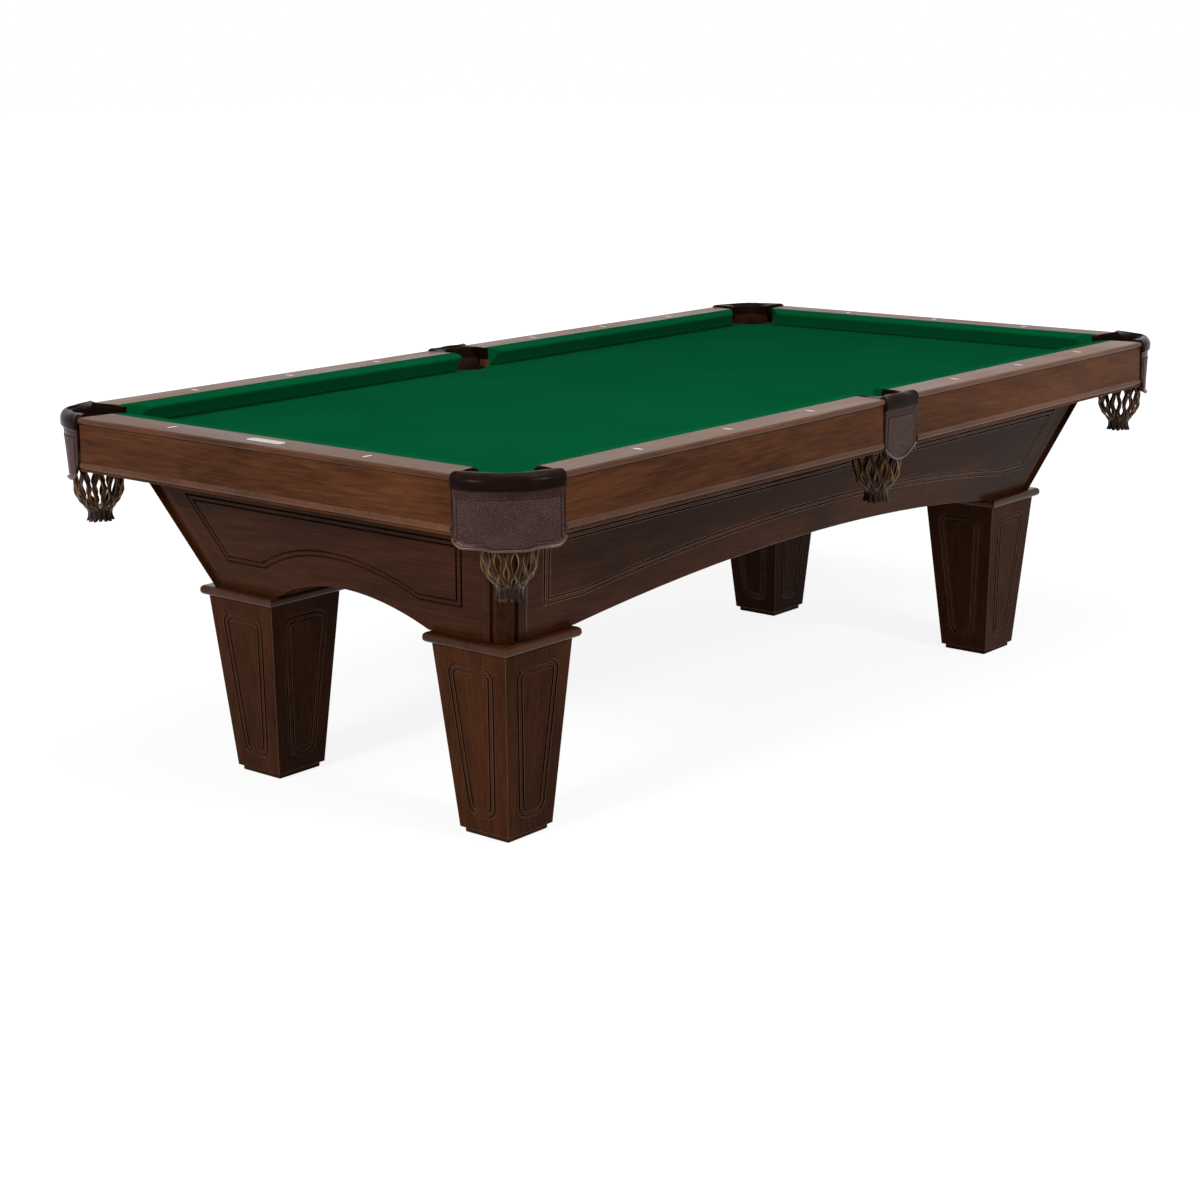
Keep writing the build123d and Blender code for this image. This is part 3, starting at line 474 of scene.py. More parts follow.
class Finishes:
    """Every material of the table, made once."""

    def __init__(self) -> None:
        """Make the materials."""
        along, across = Grain.ALONG_X, Grain.ALONG_Y
        self.wood = {}
        for grain in (along, across):
            self.wood[grain] = Wood(f"chestnut_{grain.name.lower()}", grain).build()
        self.rail_wood = Wood("rail_side", along, SIDE_TOP, shine=0.050, smooth=0.25).build()
        # Darker end-rail copy of the rail-top wood, painted shade.
        self.end_wood = Wood("rail_end", across, END_TOP_SHADED, shine=0.038, smooth=0.25).build()
        self.side_bead = Wood("bead_side", along, shine=0.20, smooth=0.15).build()
        self.end_bead = Wood("bead_end", across, shine=0.12, smooth=0.17).build()
        self.base_wood = {}
        for grain in Grain:
            self.base_wood[grain] = Wood(f"base_{grain.name.lower()}", grain, CABINET, shine=0.023).build()
        self.cap_wood = Wood("leg_cap", along, CABINET, shine=0.16, smooth=0.20).build()
        self.worn_edge = Wood("worn_edge", along, WEAR_AND_HIGHLIGHT, shine=0.55, smooth=0.22).build()
        # The frame under the table: planed wood darkened with painted shade.
        self.frame_wood = Wood("frame_wood", along, PLANED_SHADED, smooth=0.62).build()
        self.cloth = Baize("green_baize", (0.0002, 0.066, 0.0210), (0.0006, 0.086, 0.0295)).build()
        self.rail_cloth = Baize("green_baize_rail", (0.0004, 0.074, 0.0235), (0.0010, 0.098, 0.0335)).build()
        # Cloth for the faces under the cushion nose, about twice as bright as the rail cloth: painted light
        # over their shade.
        self.nose_cloth = Baize("green_baize_nose", (0.0010, 0.150, 0.0480), (0.0022, 0.195, 0.0660)).build()
        self.iron_hide = Hide(
            "iron_leather", (0.0074, 0.0030, 0.0023), (0.0152, 0.0062, 0.0048),
            smooth=0.20, pebble=0.03, shine=0.036, crease=0.08,
        ).build()
        self.arm_hide = Hide(
            "arm_leather", (0.0055, 0.0026, 0.0020), (0.0105, 0.0050, 0.0038),
            smooth=0.60, pebble=0.10, shine=0.0,
        ).build()
        self.shield_hide = Hide(
            "shield_leather", (0.034, 0.0145, 0.0118), (0.074, 0.0335, 0.0280),
            smooth=0.26, pebble=0.08, shine=0.11,
        ).build()
        # The tooled diamonds take a lighter copy of the shield leather: painted light on the raised studs, so
        # the sunk lines between them read as shade.
        self.weave_hide = Hide(
            "weave_leather", (0.044, 0.0205, 0.0175), (0.088, 0.0430, 0.0370),
            smooth=0.17, pebble=0.0, shine=0.25, crease=0.0,
        ).build()
        # The rolled lip and sunk line take a lighter, whiter copy of the shield leather: a painted highlight.
        self.lip_hide = Hide(
            "lip_leather", (0.052, 0.0280, 0.0245), (0.105, 0.0620, 0.0570),
            smooth=0.20, pebble=0.06, shine=0.45,
        ).build()
        self.net_hide = Hide(
            "net_leather", (0.0165, 0.0066, 0.0040), (0.054, 0.0215, 0.0122),
            smooth=0.12, pebble=0.03, shine=0.10, crease=0.06,
        ).build()
        self.cuff_hide = Hide(
            "cuff_leather", (0.0130, 0.0053, 0.0039), (0.037, 0.0155, 0.0112),
            smooth=0.10, pebble=0.03, shine=0.12, crease=0.06,
        ).build()
        self.raw_edge = Hide(
            "raw_edge", (0.19, 0.098, 0.034), (0.43, 0.250, 0.100),
            smooth=0.44, pebble=0.3, shine=0.10,
        ).build()
        even = (1, 1, 1)
        self.thread = Bare(
            "thread", (0.095, 0.060, 0.045), (0.175, 0.118, 0.088), even, fine=900.0, smooth=0.6
        ).build()
        self.pearl = Bare(
            "pearl", (0.42, 0.38, 0.33), (0.56, 0.52, 0.46), even, fine=160.0, smooth=0.16, shine=0.6
        ).build()
        self.plate = Bare(
            "plate", (0.46, 0.44, 0.41), (0.66, 0.64, 0.60), (60, 1.5, 60), fine=12.0, smooth=0.30, metal=1.0
        ).build()
        self.slate = Bare(
            "slate", (0.030, 0.032, 0.036), (0.062, 0.066, 0.072), even, fine=70.0, smooth=0.62
        ).build()
        self.steel = Bare(
            "steel", (0.36, 0.36, 0.38), (0.58, 0.58, 0.60), (30, 30, 3), fine=14.0, smooth=0.34, metal=1.0
        ).build()


class Draft:
    """A mesh under construction: points, faces and the finish of each face."""

    def __init__(self) -> None:
        """Start with nothing."""
        self.points: list[Vector] = []
        self.faces: list[list[int]] = []
        self.finish: list[int] = []

    def ring(self, points: list[Vector]) -> list[int]:
        """Add a row of points.

        Args:
            points: The points in order.

        Returns:
            Their numbers.
        """
        start = len(self.points)
        self.points.extend(Vector(point) for point in points)
        return list(range(start, len(self.points)))

    def bridge(self, first: list[int], second: list[int], finish: Paint = 0) -> None:
        """Join two closed rows by quads.

        Args:
            first: Numbers of the first row.
            second: Numbers of the second row.
            finish: Finish of the quads, or one for each step along the row.
        """
        count = len(first)
        for step in range(count):
            after = (step + 1) % count
            self.faces.append([first[step], first[after], second[after], second[step]])
            self.finish.append(finish if isinstance(finish, int) else finish[step])

    def cap(self, row: list[int], finish: int = 0) -> None:
        """Close a row of points by one face."""
        self.faces.append(list(row))
        self.finish.append(finish)

    def loft(self, rows: list[list[Vector]], finish: Paint = 0, ends: bool = True) -> None:
        """Join many closed rows into a skin.

        Args:
            rows: Rows of points, all of one length.
            finish: Finish of the quads, or one for each step along a row.
            ends: Whether the first and last rows are capped.
        """
        numbers = [self.ring(row) for row in rows]
        for first, second in zip(numbers, numbers[1:]):
            self.bridge(first, second, finish)
        if ends:
            for row in (numbers[0], numbers[-1]):
                self.cap(row, finish if isinstance(finish, int) else finish[0])

    def tube(self, path: list[Vector], radius: float, sides: int, finish: int) -> None:
        """Add a round bead along a path.

        Args:
            path: Points of its middle line.
            radius: Its radius.
            sides: How many sides it has.
            finish: Its finish.
        """
        rows = []
        normal = None
        turns = [2 * math.pi * index / sides for index in range(sides)]
        for step, point in enumerate(path):
            before, after = path[max(step - 1, 0)], path[min(step + 1, len(path) - 1)]
            way = (after - before).normalized()
            guess = normal if normal is not None else way.orthogonal()
            normal = (guess - way * guess.dot(way)).normalized()
            side = way.cross(normal)
            rows.append([point + (normal * math.cos(t) + side * math.sin(t)) * radius for t in turns])
        self.loft(rows, finish)

    def piece(self, name: str, finishes: list[Material], angle: float = 38.0) -> Object:
        """Make the object.

        Args:
            name: Its name.
            finishes: Its materials, in the order of the finish numbers.
            angle: Edges sharper than this stay sharp, in degrees.

        Returns:
            The object, in the scene.
        """
        mesh = bpy.data.meshes.new(name)
        mesh.from_pydata([tuple(point) for point in self.points], [], self.faces)
        for material in finishes:
            mesh.materials.append(material)
        for face, finish in zip(mesh.polygons, self.finish):
            face.material_index = finish
        work = bmesh.new()
        work.from_mesh(mesh)
        bmesh.ops.remove_doubles(work, verts=work.verts, dist=SAME_POINT)
        bmesh.ops.recalc_face_normals(work, faces=work.faces)
        work.to_mesh(mesh)
        work.free()
        shade(mesh, angle)
        return stand(name, mesh)


def shade(mesh: Mesh, angle: float) -> None:
    """Shade a mesh smooth, but keep edges sharper than an angle in degrees."""
    mesh.polygons.foreach_set("use_smooth", [True] * len(mesh.polygons))
    mesh.set_sharp_from_angle(angle=math.radians(angle))


def stand(name: str, mesh: Mesh) -> Object:
    """Put a mesh into the scene.

    Args:
        name: Name of its object.
        mesh: The mesh.

    Returns:
        The object.
    """
    thing = bpy.data.objects.new(name, mesh)
    bpy.context.scene.collection.objects.link(thing)
    return thing


def settle(thing: Object) -> Object:
    """Turn the modifiers of an object into its mesh.

    Args:
        thing: The object.

    Returns:
        The same object, with a plain mesh.
    """
    depsgraph = bpy.context.evaluated_depsgraph_get()
    mesh = bpy.data.meshes.new_from_object(thing.evaluated_get(depsgraph), depsgraph=depsgraph)
    thing.modifiers.clear()
    old = thing.data
    thing.data = mesh
    mesh.name = thing.name
    bpy.data.meshes.remove(old)
    return thing


def soften(
    thing: Object, width: float, segments: int = 2, angle: float = 32.0, finish: int = -1
) -> Object:
    """Round the sharp edges of an object a little.

    Args:
        thing: The object.
        width: Width of the rounding in metres.
        segments: Steps of the rounding.
        angle: Edges sharper than this are rounded, in degrees.
        finish: Finish of the rounding, or -1 for that of the faces beside it.

    Returns:
        The same object.
    """
    mesh = thing.data
    mesh.polygons.foreach_set("use_smooth", [True] * len(mesh.polygons))
    bevel = thing.modifiers.new("rounded edges", "BEVEL")
    bevel.width = width
    bevel.segments = segments
    bevel.limit_method = "ANGLE"
    bevel.angle_limit = math.radians(angle)
    bevel.use_clamp_overlap = True
    bevel.material = finish
    even = thing.modifiers.new("flat faces", "WEIGHTED_NORMAL")
    even.mode = "FACE_AREA"
    even.weight = FACE_WEIGHT
    return settle(thing)


def seat(thing: Object, nodes: list[str], body: str = "table") -> None:
    """Fix a finished piece to the table in place of its solids.

    Args:
        thing: The piece.
        nodes: Solids that it stands for.
        body: Body that it moves with.
    """
    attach(thing, body)
    if nodes:
        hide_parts(*nodes)
    LOG.info("%s: %d faces", thing.name, len(thing.data.polygons))


class Stud(Enum):
    """Small shapes that repeat over the leather and the rails."""

    DIAMOND = "diamond"
    STITCH = "stitch"
    SIGHT = "sight"


class Scatter(Tree):
    """A geometry tree that sets one small shape on every point of a mesh."""

    sides = ("Length", "Width", "Height")

    def __init__(self, stud: Stud, material: Material) -> None:
        """Build the tree.

        Args:
            stud: The shape that repeats.
            material: Its finish.
        """
        super().__init__(bpy.data.node_groups.new(f"scatter_{stud.value}", "GeometryNodeTree"))
        self.stud = stud
        face = self.tree.interface
        face.new_socket("Points", in_out="INPUT", socket_type="NodeSocketGeometry")
        for side in self.sides:
            face.new_socket(side, in_out="INPUT", socket_type="NodeSocketFloat")
        face.new_socket("Shapes", in_out="OUTPUT", socket_type="NodeSocketGeometry")
        given = self.add("NodeGroupInput")
        made = self.add("NodeGroupOutput")
        size = self.add("ShaderNodeCombineXYZ")
        for side, axis in zip(self.sides, "XYZ"):
            self.join(given, side, size, axis)
        sized = self.add("GeometryNodeTransform")
        self.join(self.shape(), "Mesh", sized, "Geometry")
        self.join(size, "Vector", sized, "Scale")
        dots = self.add("GeometryNodeMeshToPoints")
        self.join(given, "Points", dots, "Mesh")
        up = self.add("FunctionNodeAlignRotationToVector", axis="Z")
        self.join(self.attribute("out"), "Attribute", up, "Vector")
        turn = self.add("FunctionNodeAlignRotationToVector", axis="X", pivot_axis="Z")
        self.join(up, "Rotation", turn, "Rotation")
        self.join(self.attribute("along"), "Attribute", turn, "Vector")
        spread = self.add("GeometryNodeInstanceOnPoints")
        self.join(dots, "Points", spread, "Points")
        self.join(sized, "Geometry", spread, "Instance")
        self.join(turn, "Rotation", spread, "Rotation")
        real = self.add("GeometryNodeRealizeInstances")
        self.join(spread, "Instances", real, "Geometry")
        dress = self.add("GeometryNodeSetMaterial", {"Material": material})
        self.join(real, "Geometry", dress, "Geometry")
        self.join(dress, "Geometry", made, "Shapes")

    def attribute(self, name: str) -> Node:
        """Add a node that reads a direction that each point carries."""
        return self.add("GeometryNodeInputNamedAttribute", {"Name": name}, data_type="FLOAT_VECTOR")

    def shape(self) -> Node:
        """Make the shape that repeats, one metre in size.

        Returns:
            The node that gives its mesh.
        """
        if self.stud is Stud.SIGHT:
            return self.add("GeometryNodeMeshCylinder", {"Vertices": 32, "Radius": 0.5, "Depth": 1.0})
        segments, rings = (4, 6) if self.stud is Stud.DIAMOND else (8, 5)
        return self.add("GeometryNodeMeshUVSphere", {"Segments": segments, "Rings": rings, "Radius": 0.5})

    def spread(self, name: str, points: list[Spot], size: Triple) -> Object:
        """Set the shape on each point.

        Args:
            name: Name of the piece.
            points: For each shape its place, the way it stands out and the way its length runs.
            size: Length, width and height of one shape in metres.

        Returns:
            The piece, as a plain mesh.
        """
        mesh = bpy.data.meshes.new(name)
        mesh.from_pydata([tuple(point[0]) for point in points], [], [])
        for key, index in (("out", 1), ("along", 2)):
            layer = mesh.attributes.new(key, "FLOAT_VECTOR", "POINT")
            layer.data.foreach_set("vector", [part for point in points for part in point[index]])
        thing = stand(name, mesh)
        modifier = thing.modifiers.new("scatter", "NODES")
        modifier.node_group = self.tree
        sizes = dict(zip(self.sides, size))
        for socket in self.tree.interface.items_tree:
            if socket.in_out == "INPUT" and socket.name in sizes:
                modifier[socket.identifier] = sizes[socket.name]
        settle(thing)
        for key in ("out", "along"):
            layer = thing.data.attributes.get(key)
            if layer is not None:
                thing.data.attributes.remove(layer)
        sharp = 120.0 if self.stud is Stud.DIAMOND else 30.0
        shade(thing.data, sharp)
        return thing


@dataclass(frozen=True)
class Bead:
    """A rounded outer edge that hands keep bright: its heights, and its depth from the outside."""

    low: float
    high: float
    reach: float


@dataclass
class Woodwork:
    """Rails, skirts, cabinet and legs: the stained pieces of the table."""

    finishes: Finishes
    rounding: float = 0.0012
    weld: float = 2e-5
    flat_angle: float = 0.6
    rail_bead: Bead = Bead(0.7862, 0.7998, 0.0066)
    skirt_bead: Bead = Bead(0.6921, 0.7062, 0.0039)
    end_gap: float = 0.001

    def copy(self, node: str, wood: Material, edge: Material | None = None) -> Object:
        """Make a piece from its solid, with softly broken edges.

        Args:
            node: Name of the solid.
            wood: Its stain, with the grain along the piece.
            edge: Lighter, glossier finish of its broken edges, if they have one: wear and a painted
                highlight.

        Returns:
            The piece.
        """
        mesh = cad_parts[node].data.copy()
        mesh.name = f"{node}_wood"
        mesh.materials.clear()
        mesh.materials.append(wood)
        work = bmesh.new()
        work.from_mesh(mesh)
        bmesh.ops.remove_doubles(work, verts=work.verts, dist=self.weld)
        flat = math.radians(self.flat_angle)
        bmesh.ops.dissolve_limit(work, angle_limit=flat, verts=work.verts, edges=work.edges)
        work.to_mesh(mesh)
        work.free()
        mesh.polygons.foreach_set("material_index", [0] * len(mesh.polygons))
        thing = stand(f"{node}_wood", mesh)
        if edge is None:
            return soften(thing, self.rounding)
        mesh.materials.append(edge)
        return soften(thing, self.rounding, finish=1)

    @staticmethod
    def polish(mesh: Mesh, bead: Bead, wood: Material) -> None:
        """Give a rounded outer edge a glossier finish.

        Args:
            mesh: Mesh of the piece.
            bead: The edge.
            wood: The glossier finish.
        """
        mesh.materials.append(wood)
        place = len(mesh.materials) - 1
        for face in mesh.polygons:
            depth = min(SIZES.half_length - abs(face.center.x), SIZES.half_width - abs(face.center.y))
            if bead.low < face.center.z < bead.high and depth < bead.reach:
                face.material_index = place

    def build(self) -> None:
        """Make every stained piece and fix it in place."""
        base = self.finishes.base_wood
        woods = {"leg_caps": self.finishes.cap_wood}
        for end in ("head", "foot"):
            woods[f"rail_{end}"] = self.finishes.end_wood
            woods[f"apron_{end}"] = base[Grain.ALONG_Y]
        for side in ("left", "right"):
            woods[f"apron_{side}"] = base[Grain.ALONG_X]
        for quarter in Quarter:
            woods[f"rail_{quarter.node}"] = self.finishes.rail_wood
            woods[f"corner_post_{quarter.node}"] = base[Grain.ALONG_Z]
            woods[f"leg_{quarter.node}"] = base[Grain.ALONG_Z]
            foot = f"leveler_foot_{quarter.node}"
            seat(self.copy(foot, base[Grain.ALONG_X]), [foot], f"foot_{quarter.node}")
        for node, wood in woods.items():
            # Moulded pieces get the lighter edge finish on their broken edges, a painted highlight along
            # mouldings and corners.
            moulded = node.startswith(("apron_", "leg_"))
            piece = self.copy(node, wood, self.finishes.worn_edge if moulded else None)
            if node.startswith("rail_"):
                at_end = wood == self.finishes.end_wood
                bright = self.finishes.end_bead if at_end else self.finishes.side_bead
                self.polish(piece.data, self.rail_bead, bright)
            seat(piece, [node])
        self.skirts()

    def skirts(self) -> None:
        """Split the skirts into side and end pieces, so that the grain follows each."""
        whole = self.copy("skirts", self.finishes.wood[Grain.ALONG_X])
        mesh = whole.data
        mesh.materials.append(self.finishes.wood[Grain.ALONG_Y])
        limit = SIZES.arc_x + self.end_gap
        for face in mesh.polygons:
            face.material_index = 1 if abs(face.center.x) > limit else 0
        self.polish(mesh, self.skirt_bead, self.finishes.side_bead)
        seat(whole, ["skirts"])


@dataclass
class Cushions:
    """Cloth-covered cushions; the outline gives depths from the outer rail edge and heights."""

    finishes: Finishes
    stations: int = 28
    # Outline steps under the nose whose faces take the brighter cloth, painted light on their shade.
    undercut: tuple[int, int] = (10, 17)
    rounding: float = 0.0016
    rounding_steps: int = 3
    sharp: float = 50.0
    outline: tuple[Pair, ...] = (
        (0.0783, 0.7990), (0.0784, 0.8001), (0.0794, 0.8006), (0.0870, 0.8007), (0.0970, 0.8003),
        (0.1060, 0.7992), (0.1130, 0.7976), (0.1170, 0.7961), (0.1193, 0.7945), (0.1205, 0.7926),
        (0.1204, 0.7906), (0.1192, 0.7886), (0.1165, 0.7858), (0.1100, 0.7790), (0.1030, 0.7712),
        (0.0975, 0.7645), (0.0945, 0.7600), (0.0925, 0.7572), (0.0900, 0.7566), (0.0900, 0.7720),
        (0.0862, 0.7988),
    )

    @staticmethod
    def corner_end(depth: float, long_side: bool) -> float:
        """Where a cushion stops at a corner pocket.

        Args:
            depth: Depth from the outer rail edge.
            long_side: Whether the cushion runs along the table.

        Returns:
            Distance from the middle of the table.
        """
        half = SIZES.half_length if long_side else SIZES.half_width
        nose = SIZES.nose_x if long_side else SIZES.nose_y
        outer = half - SIZES.corner_cut
        knee = outer - SIZES.corner_knee
        if depth < SIZES.knee_depth:
            return outer - SIZES.corner_knee * depth / SIZES.knee_depth
        share = (depth - SIZES.knee_depth) / (half - nose - SIZES.knee_depth)
        return knee + (nose - SIZES.corner_mouth - knee) * share

    @staticmethod
    def side_end(depth: float) -> float:
        """Where a cushion stops at a side pocket.

        Args:
            depth: Depth from the outer rail edge.

        Returns:
            Distance from the middle of the table.
        """
        if depth < SIZES.knee_depth:
            return SIZES.side_gap + (SIZES.side_knee - SIZES.side_gap) * depth / SIZES.knee_depth
        share = (depth - SIZES.knee_depth) / (SIZES.half_width - SIZES.nose_y - SIZES.knee_depth)
        return SIZES.side_knee + (SIZES.side_mouth - SIZES.side_knee) * share

    def bar(self, name: str, long_side: bool, sx: int, sy: int) -> Object:
        """Make one cushion.

        Args:
            name: Its name.
            long_side: Whether it runs along the table.
            sx: Sign along X.
            sy: Sign along Y.

        Returns:
            The cushion.
        """
        rows = []
        for step in range(self.stations + 1):
            share = step / self.stations
            row = []
            for depth, height in self.outline:
                if long_side:
                    start, end = self.side_end(depth), self.corner_end(depth, True)
                    place = start + (end - start) * share
                    row.append(Vector((sx * place, sy * (SIZES.half_width - depth), height)))
                else:
                    end = self.corner_end(depth, False)
                    place = end * (2 * share - 1)
                    row.append(Vector((sx * (SIZES.half_length - depth), place, height)))
            rows.append(row)
        draft = Draft()
        # The faces under the nose get the brighter cloth: painted light over the shade there.
        under = range(*self.undercut)
        draft.loft(rows, [1 if index in under else 0 for index in range(len(rows[0]))])
        thing = draft.piece(name, [self.finishes.rail_cloth, self.finishes.nose_cloth], self.sharp)
        return soften(thing, self.rounding, self.rounding_steps, self.sharp)

    def build(self) -> None:
        """Make the cushions and fix them to the rails."""
        pieces = []
        for quarter in Quarter:
            sx, sy = quarter.value
            pieces.append(self.bar(f"cushion_{quarter.node}", True, sx, sy))
        for end, sx in (("head", -1), ("foot", 1)):
            pieces.append(self.bar(f"cushion_{end}", False, sx, 1))
        for piece in pieces:
            seat(piece, ["cushions"])


@dataclass
class BedCloth:
    """The cloth stretched over the slates; turned holds the draw and the rise of each row of its edge."""

    finishes: Finishes
    steps: int = 36
    turned: tuple[Pair, ...] = ((0.0, 0.0002), (0.0005, -0.0002), (0.0006, -0.0009))

    def corner(self) -> list[tuple[float, float, bool]]:
        """Edge of the cloth at the foot left corner, from the end round to the side.

        Returns:
            Places across the bed, each with a mark on the points of the pocket.
        """
        radius = SIZES.slate_hole
        lean = radius * math.sqrt(0.5)
        x, y = SIZES.corner_x, SIZES.corner_y
        run_x = SIZES.slate_x - (x + lean)
        run_y = SIZES.slate_y - (y + lean)
        edge = [(SIZES.slate_x, y - lean + run_x, False)]
        for step in range(self.steps + 1):
            turn = math.radians(315 - 180 * step / self.steps)
            edge.append((x + radius * math.cos(turn), y + radius * math.sin(turn), True))
        edge.append((x - lean + run_y, SIZES.slate_y, False))
        return edge

    def side(self) -> list[tuple[float, float, bool]]:
        """Edge of the cloth at the left side pocket, towards the head.

        Returns:
            Places across the bed, each with a mark on the points of the pocket.
        """
        radius = SIZES.slate_hole
        edge = [(radius, SIZES.slate_y, False)]
        for step in range(self.steps + 1):
            turn = math.radians(-180 * step / self.steps)
            edge.append((radius * math.cos(turn), SIZES.side_y + radius * math.sin(turn), True))
        edge.append((-radius, SIZES.slate_y, False))
        return edge

    def build(self) -> None:
        """Make the cloth and stretch it over the slates."""
        half = self.corner() + self.side()
        half += [(-x, y, rim) for x, y, rim in reversed(self.corner())]
        edge = half + [(-x, -y, rim) for x, y, rim in half]
        draft = Draft()
        centres = [(sx * SIZES.corner_x, sy * SIZES.corner_y) for sx in (-1, 1) for sy in (-1, 1)]
        centres += [(0.0, sy * SIZES.side_y) for sy in (-1, 1)]

        def level(shrink: float, height: float) -> list[Vector]:
            """A row round the cloth, drawn towards each pocket.

            Args:
                shrink: How far it is drawn in.
                height: Its height.

            Returns:
                The points of the row.
            """
            row = []
            for x, y, rim in edge:
                cx, cy = min(centres, key=lambda c: (c[0] - x) ** 2 + (c[1] - y) ** 2)
                pull = shrink / SIZES.slate_hole if rim else 0.0
                row.append(Vector((x + (cx - x) * pull, y + (cy - y) * pull, height)))
            return row

        draft.loft([level(shrink, SIZES.bed + rise) for shrink, rise in self.turned])
        cloth = draft.piece("bed_cloth_stretched", [self.finishes.cloth], 30.0)
        seat(cloth, ["bed_cloth"])


@dataclass
class PocketIron:
    """A leather-wrapped iron round a pocket, rounded over like a bolster at its outer edge."""

    finishes: Finishes
    front_round: float = 0.024
    front_fall: float = 0.019
    end_round: float = 0.006
    inner_round: float = 0.006
    rail_round: float = 0.0018
    rail_gap: float = 0.0008
    tip_fall: float = 0.018
    tip_turn_out: float = 1.9
    tip_turn_in: float = 1.7
    inner_rise: float = 0.0010
    arm_line: float = 0.014
    arm_share: float = 0.4
    bow: float = 0.0015
    lip_share: float = 0.35
    least_flat: float = 0.0005
    foot_rail: float = 0.0004
    foot_front: float = 0.0030
    foot_nick: float = 0.3
    front_steps: int = 24
    arc_steps: int = 30
    end_steps: int = 8
    arm_steps: int = 16
    lip_steps: int = 5
    flat_steps: int = 4
    round_steps: int = 10
    sharp: float = 50.0

    def edge(self, side: bool) -> list[tuple[Vector, float]]:
        """Outer edge of an iron from its middle round to the tip of an arm.

        Args:
            side: Whether it is a side iron.

        Returns:
            Points across the table, each with a share of the front rounding; the arms mirror each other.
        """
        curve, gap = self.end_round, self.rail_gap
        points = []
        if side:
            front = SIZES.half_width + SIZES.iron_proud
            stop = SIZES.side_gap - gap - curve
            for step in range(self.front_steps + 1):
                x = stop * step / self.front_steps
                points.append((Vector((-x, front - self.bow * (x / SIZES.side_gap) ** 2, 0)), 1.0))
            middle = Vector((-stop, points[-1][0].y - curve, 0))
            start = math.pi / 2
            outer, knee, tip_end = SIZES.side_gap, SIZES.side_knee, SIZES.side_mouth
            sign = -1
        else:
            radius = SIZES.corner_cut + SIZES.iron_proud
            rise = math.sqrt((radius - curve) ** 2 - (gap + curve) ** 2)
            middle = Vector((SIZES.arc_x + gap + curve, SIZES.arc_y + rise, 0))
            start = math.atan2(rise, gap + curve)
            for step in range(self.arc_steps + 1):
                turn = math.pi / 4 + (start - math.pi / 4) * step / self.arc_steps
                x, y = SIZES.arc_x + radius * math.cos(turn), SIZES.arc_y + radius * math.sin(turn)
                points.append((Vector((x, y, 0)), 1.0))
            outer, knee = SIZES.arc_x, SIZES.arc_x - SIZES.corner_knee
            tip_end = SIZES.nose_x - SIZES.corner_mouth
            sign = 1
        for step in range(1, self.end_steps + 1):
            turn = start + (math.pi - start) * step / self.end_steps
            way = Vector((math.cos(turn), math.sin(turn), 0))
            points.append((middle + way * curve, 1.0 - (1.0 - self.arm_share) * step / self.end_steps))
        share = (SIZES.arm_end - SIZES.knee_depth) / (SIZES.half_width - SIZES.nose_y - SIZES.knee_depth)
        knee_y = SIZES.half_width - SIZES.knee_depth
        for step in range(1, self.arm_steps + 1):
            y = middle.y + (knee_y - middle.y) * step / self.arm_steps
            lean = (SIZES.half_width - y) / SIZES.knee_depth
            x = outer + (knee - outer) * lean
            front = max(0.0, self.arm_share - 2 * step / self.arm_steps)
            points.append((Vector((sign * x + gap, y, 0)), front))
        tip = knee + share * (tip_end - knee)
        points.append((Vector((sign * tip + gap, SIZES.half_width - SIZES.arm_end, 0)), 0.0))
        return points

    def section(self, inner: float, outer: float, front: float, top: float, over: float) -> list[Pair]:
        """Cross-section of an iron in one direction from the hole.

        Args:
            inner: Distance of its inner wall.
            outer: Distance of its outer wall.
            front: Share of the front rounding.
            top: Height at the inner wall.
            over: Height at the outer wall.

        Returns:
            Pairs of distance and height.
        """
        under = SIZES.iron_under
        wide = outer - inner
        lip = min(self.inner_round, wide * self.lip_share)
        curve = self.rail_round + (self.front_round - self.rail_round) * front
        curve = min(curve, wide - lip - self.least_flat)
        fall = self.rail_round + (self.front_fall - self.rail_round) * front
        points = [(inner, under), (inner, (under + top) / 2), (inner, top - lip)]
        for step in range(1, self.lip_steps + 1):
            turn = math.pi / 2 * step / self.lip_steps
            points.append((inner + lip * (1 - math.cos(turn)), top - lip * (1 - math.sin(turn))))
        flat_start, flat_end = inner + lip, outer - curve
        for step in range(1, self.flat_steps):
            share = step / self.flat_steps
            points.append((flat_start + (flat_end - flat_start) * share, top + (over - top) * share))
        for step in range(self.round_steps + 1):
            turn = math.pi / 2 * step / self.round_steps
            points.append((outer - curve * (1 - math.sin(turn)), over - fall * (1 - math.cos(turn))))
        foot = self.foot_rail + self.foot_front * front
        nick = foot * self.foot_nick
        return points + [(outer, under + foot), (outer - nick, under + nick), (outer - foot, under)]

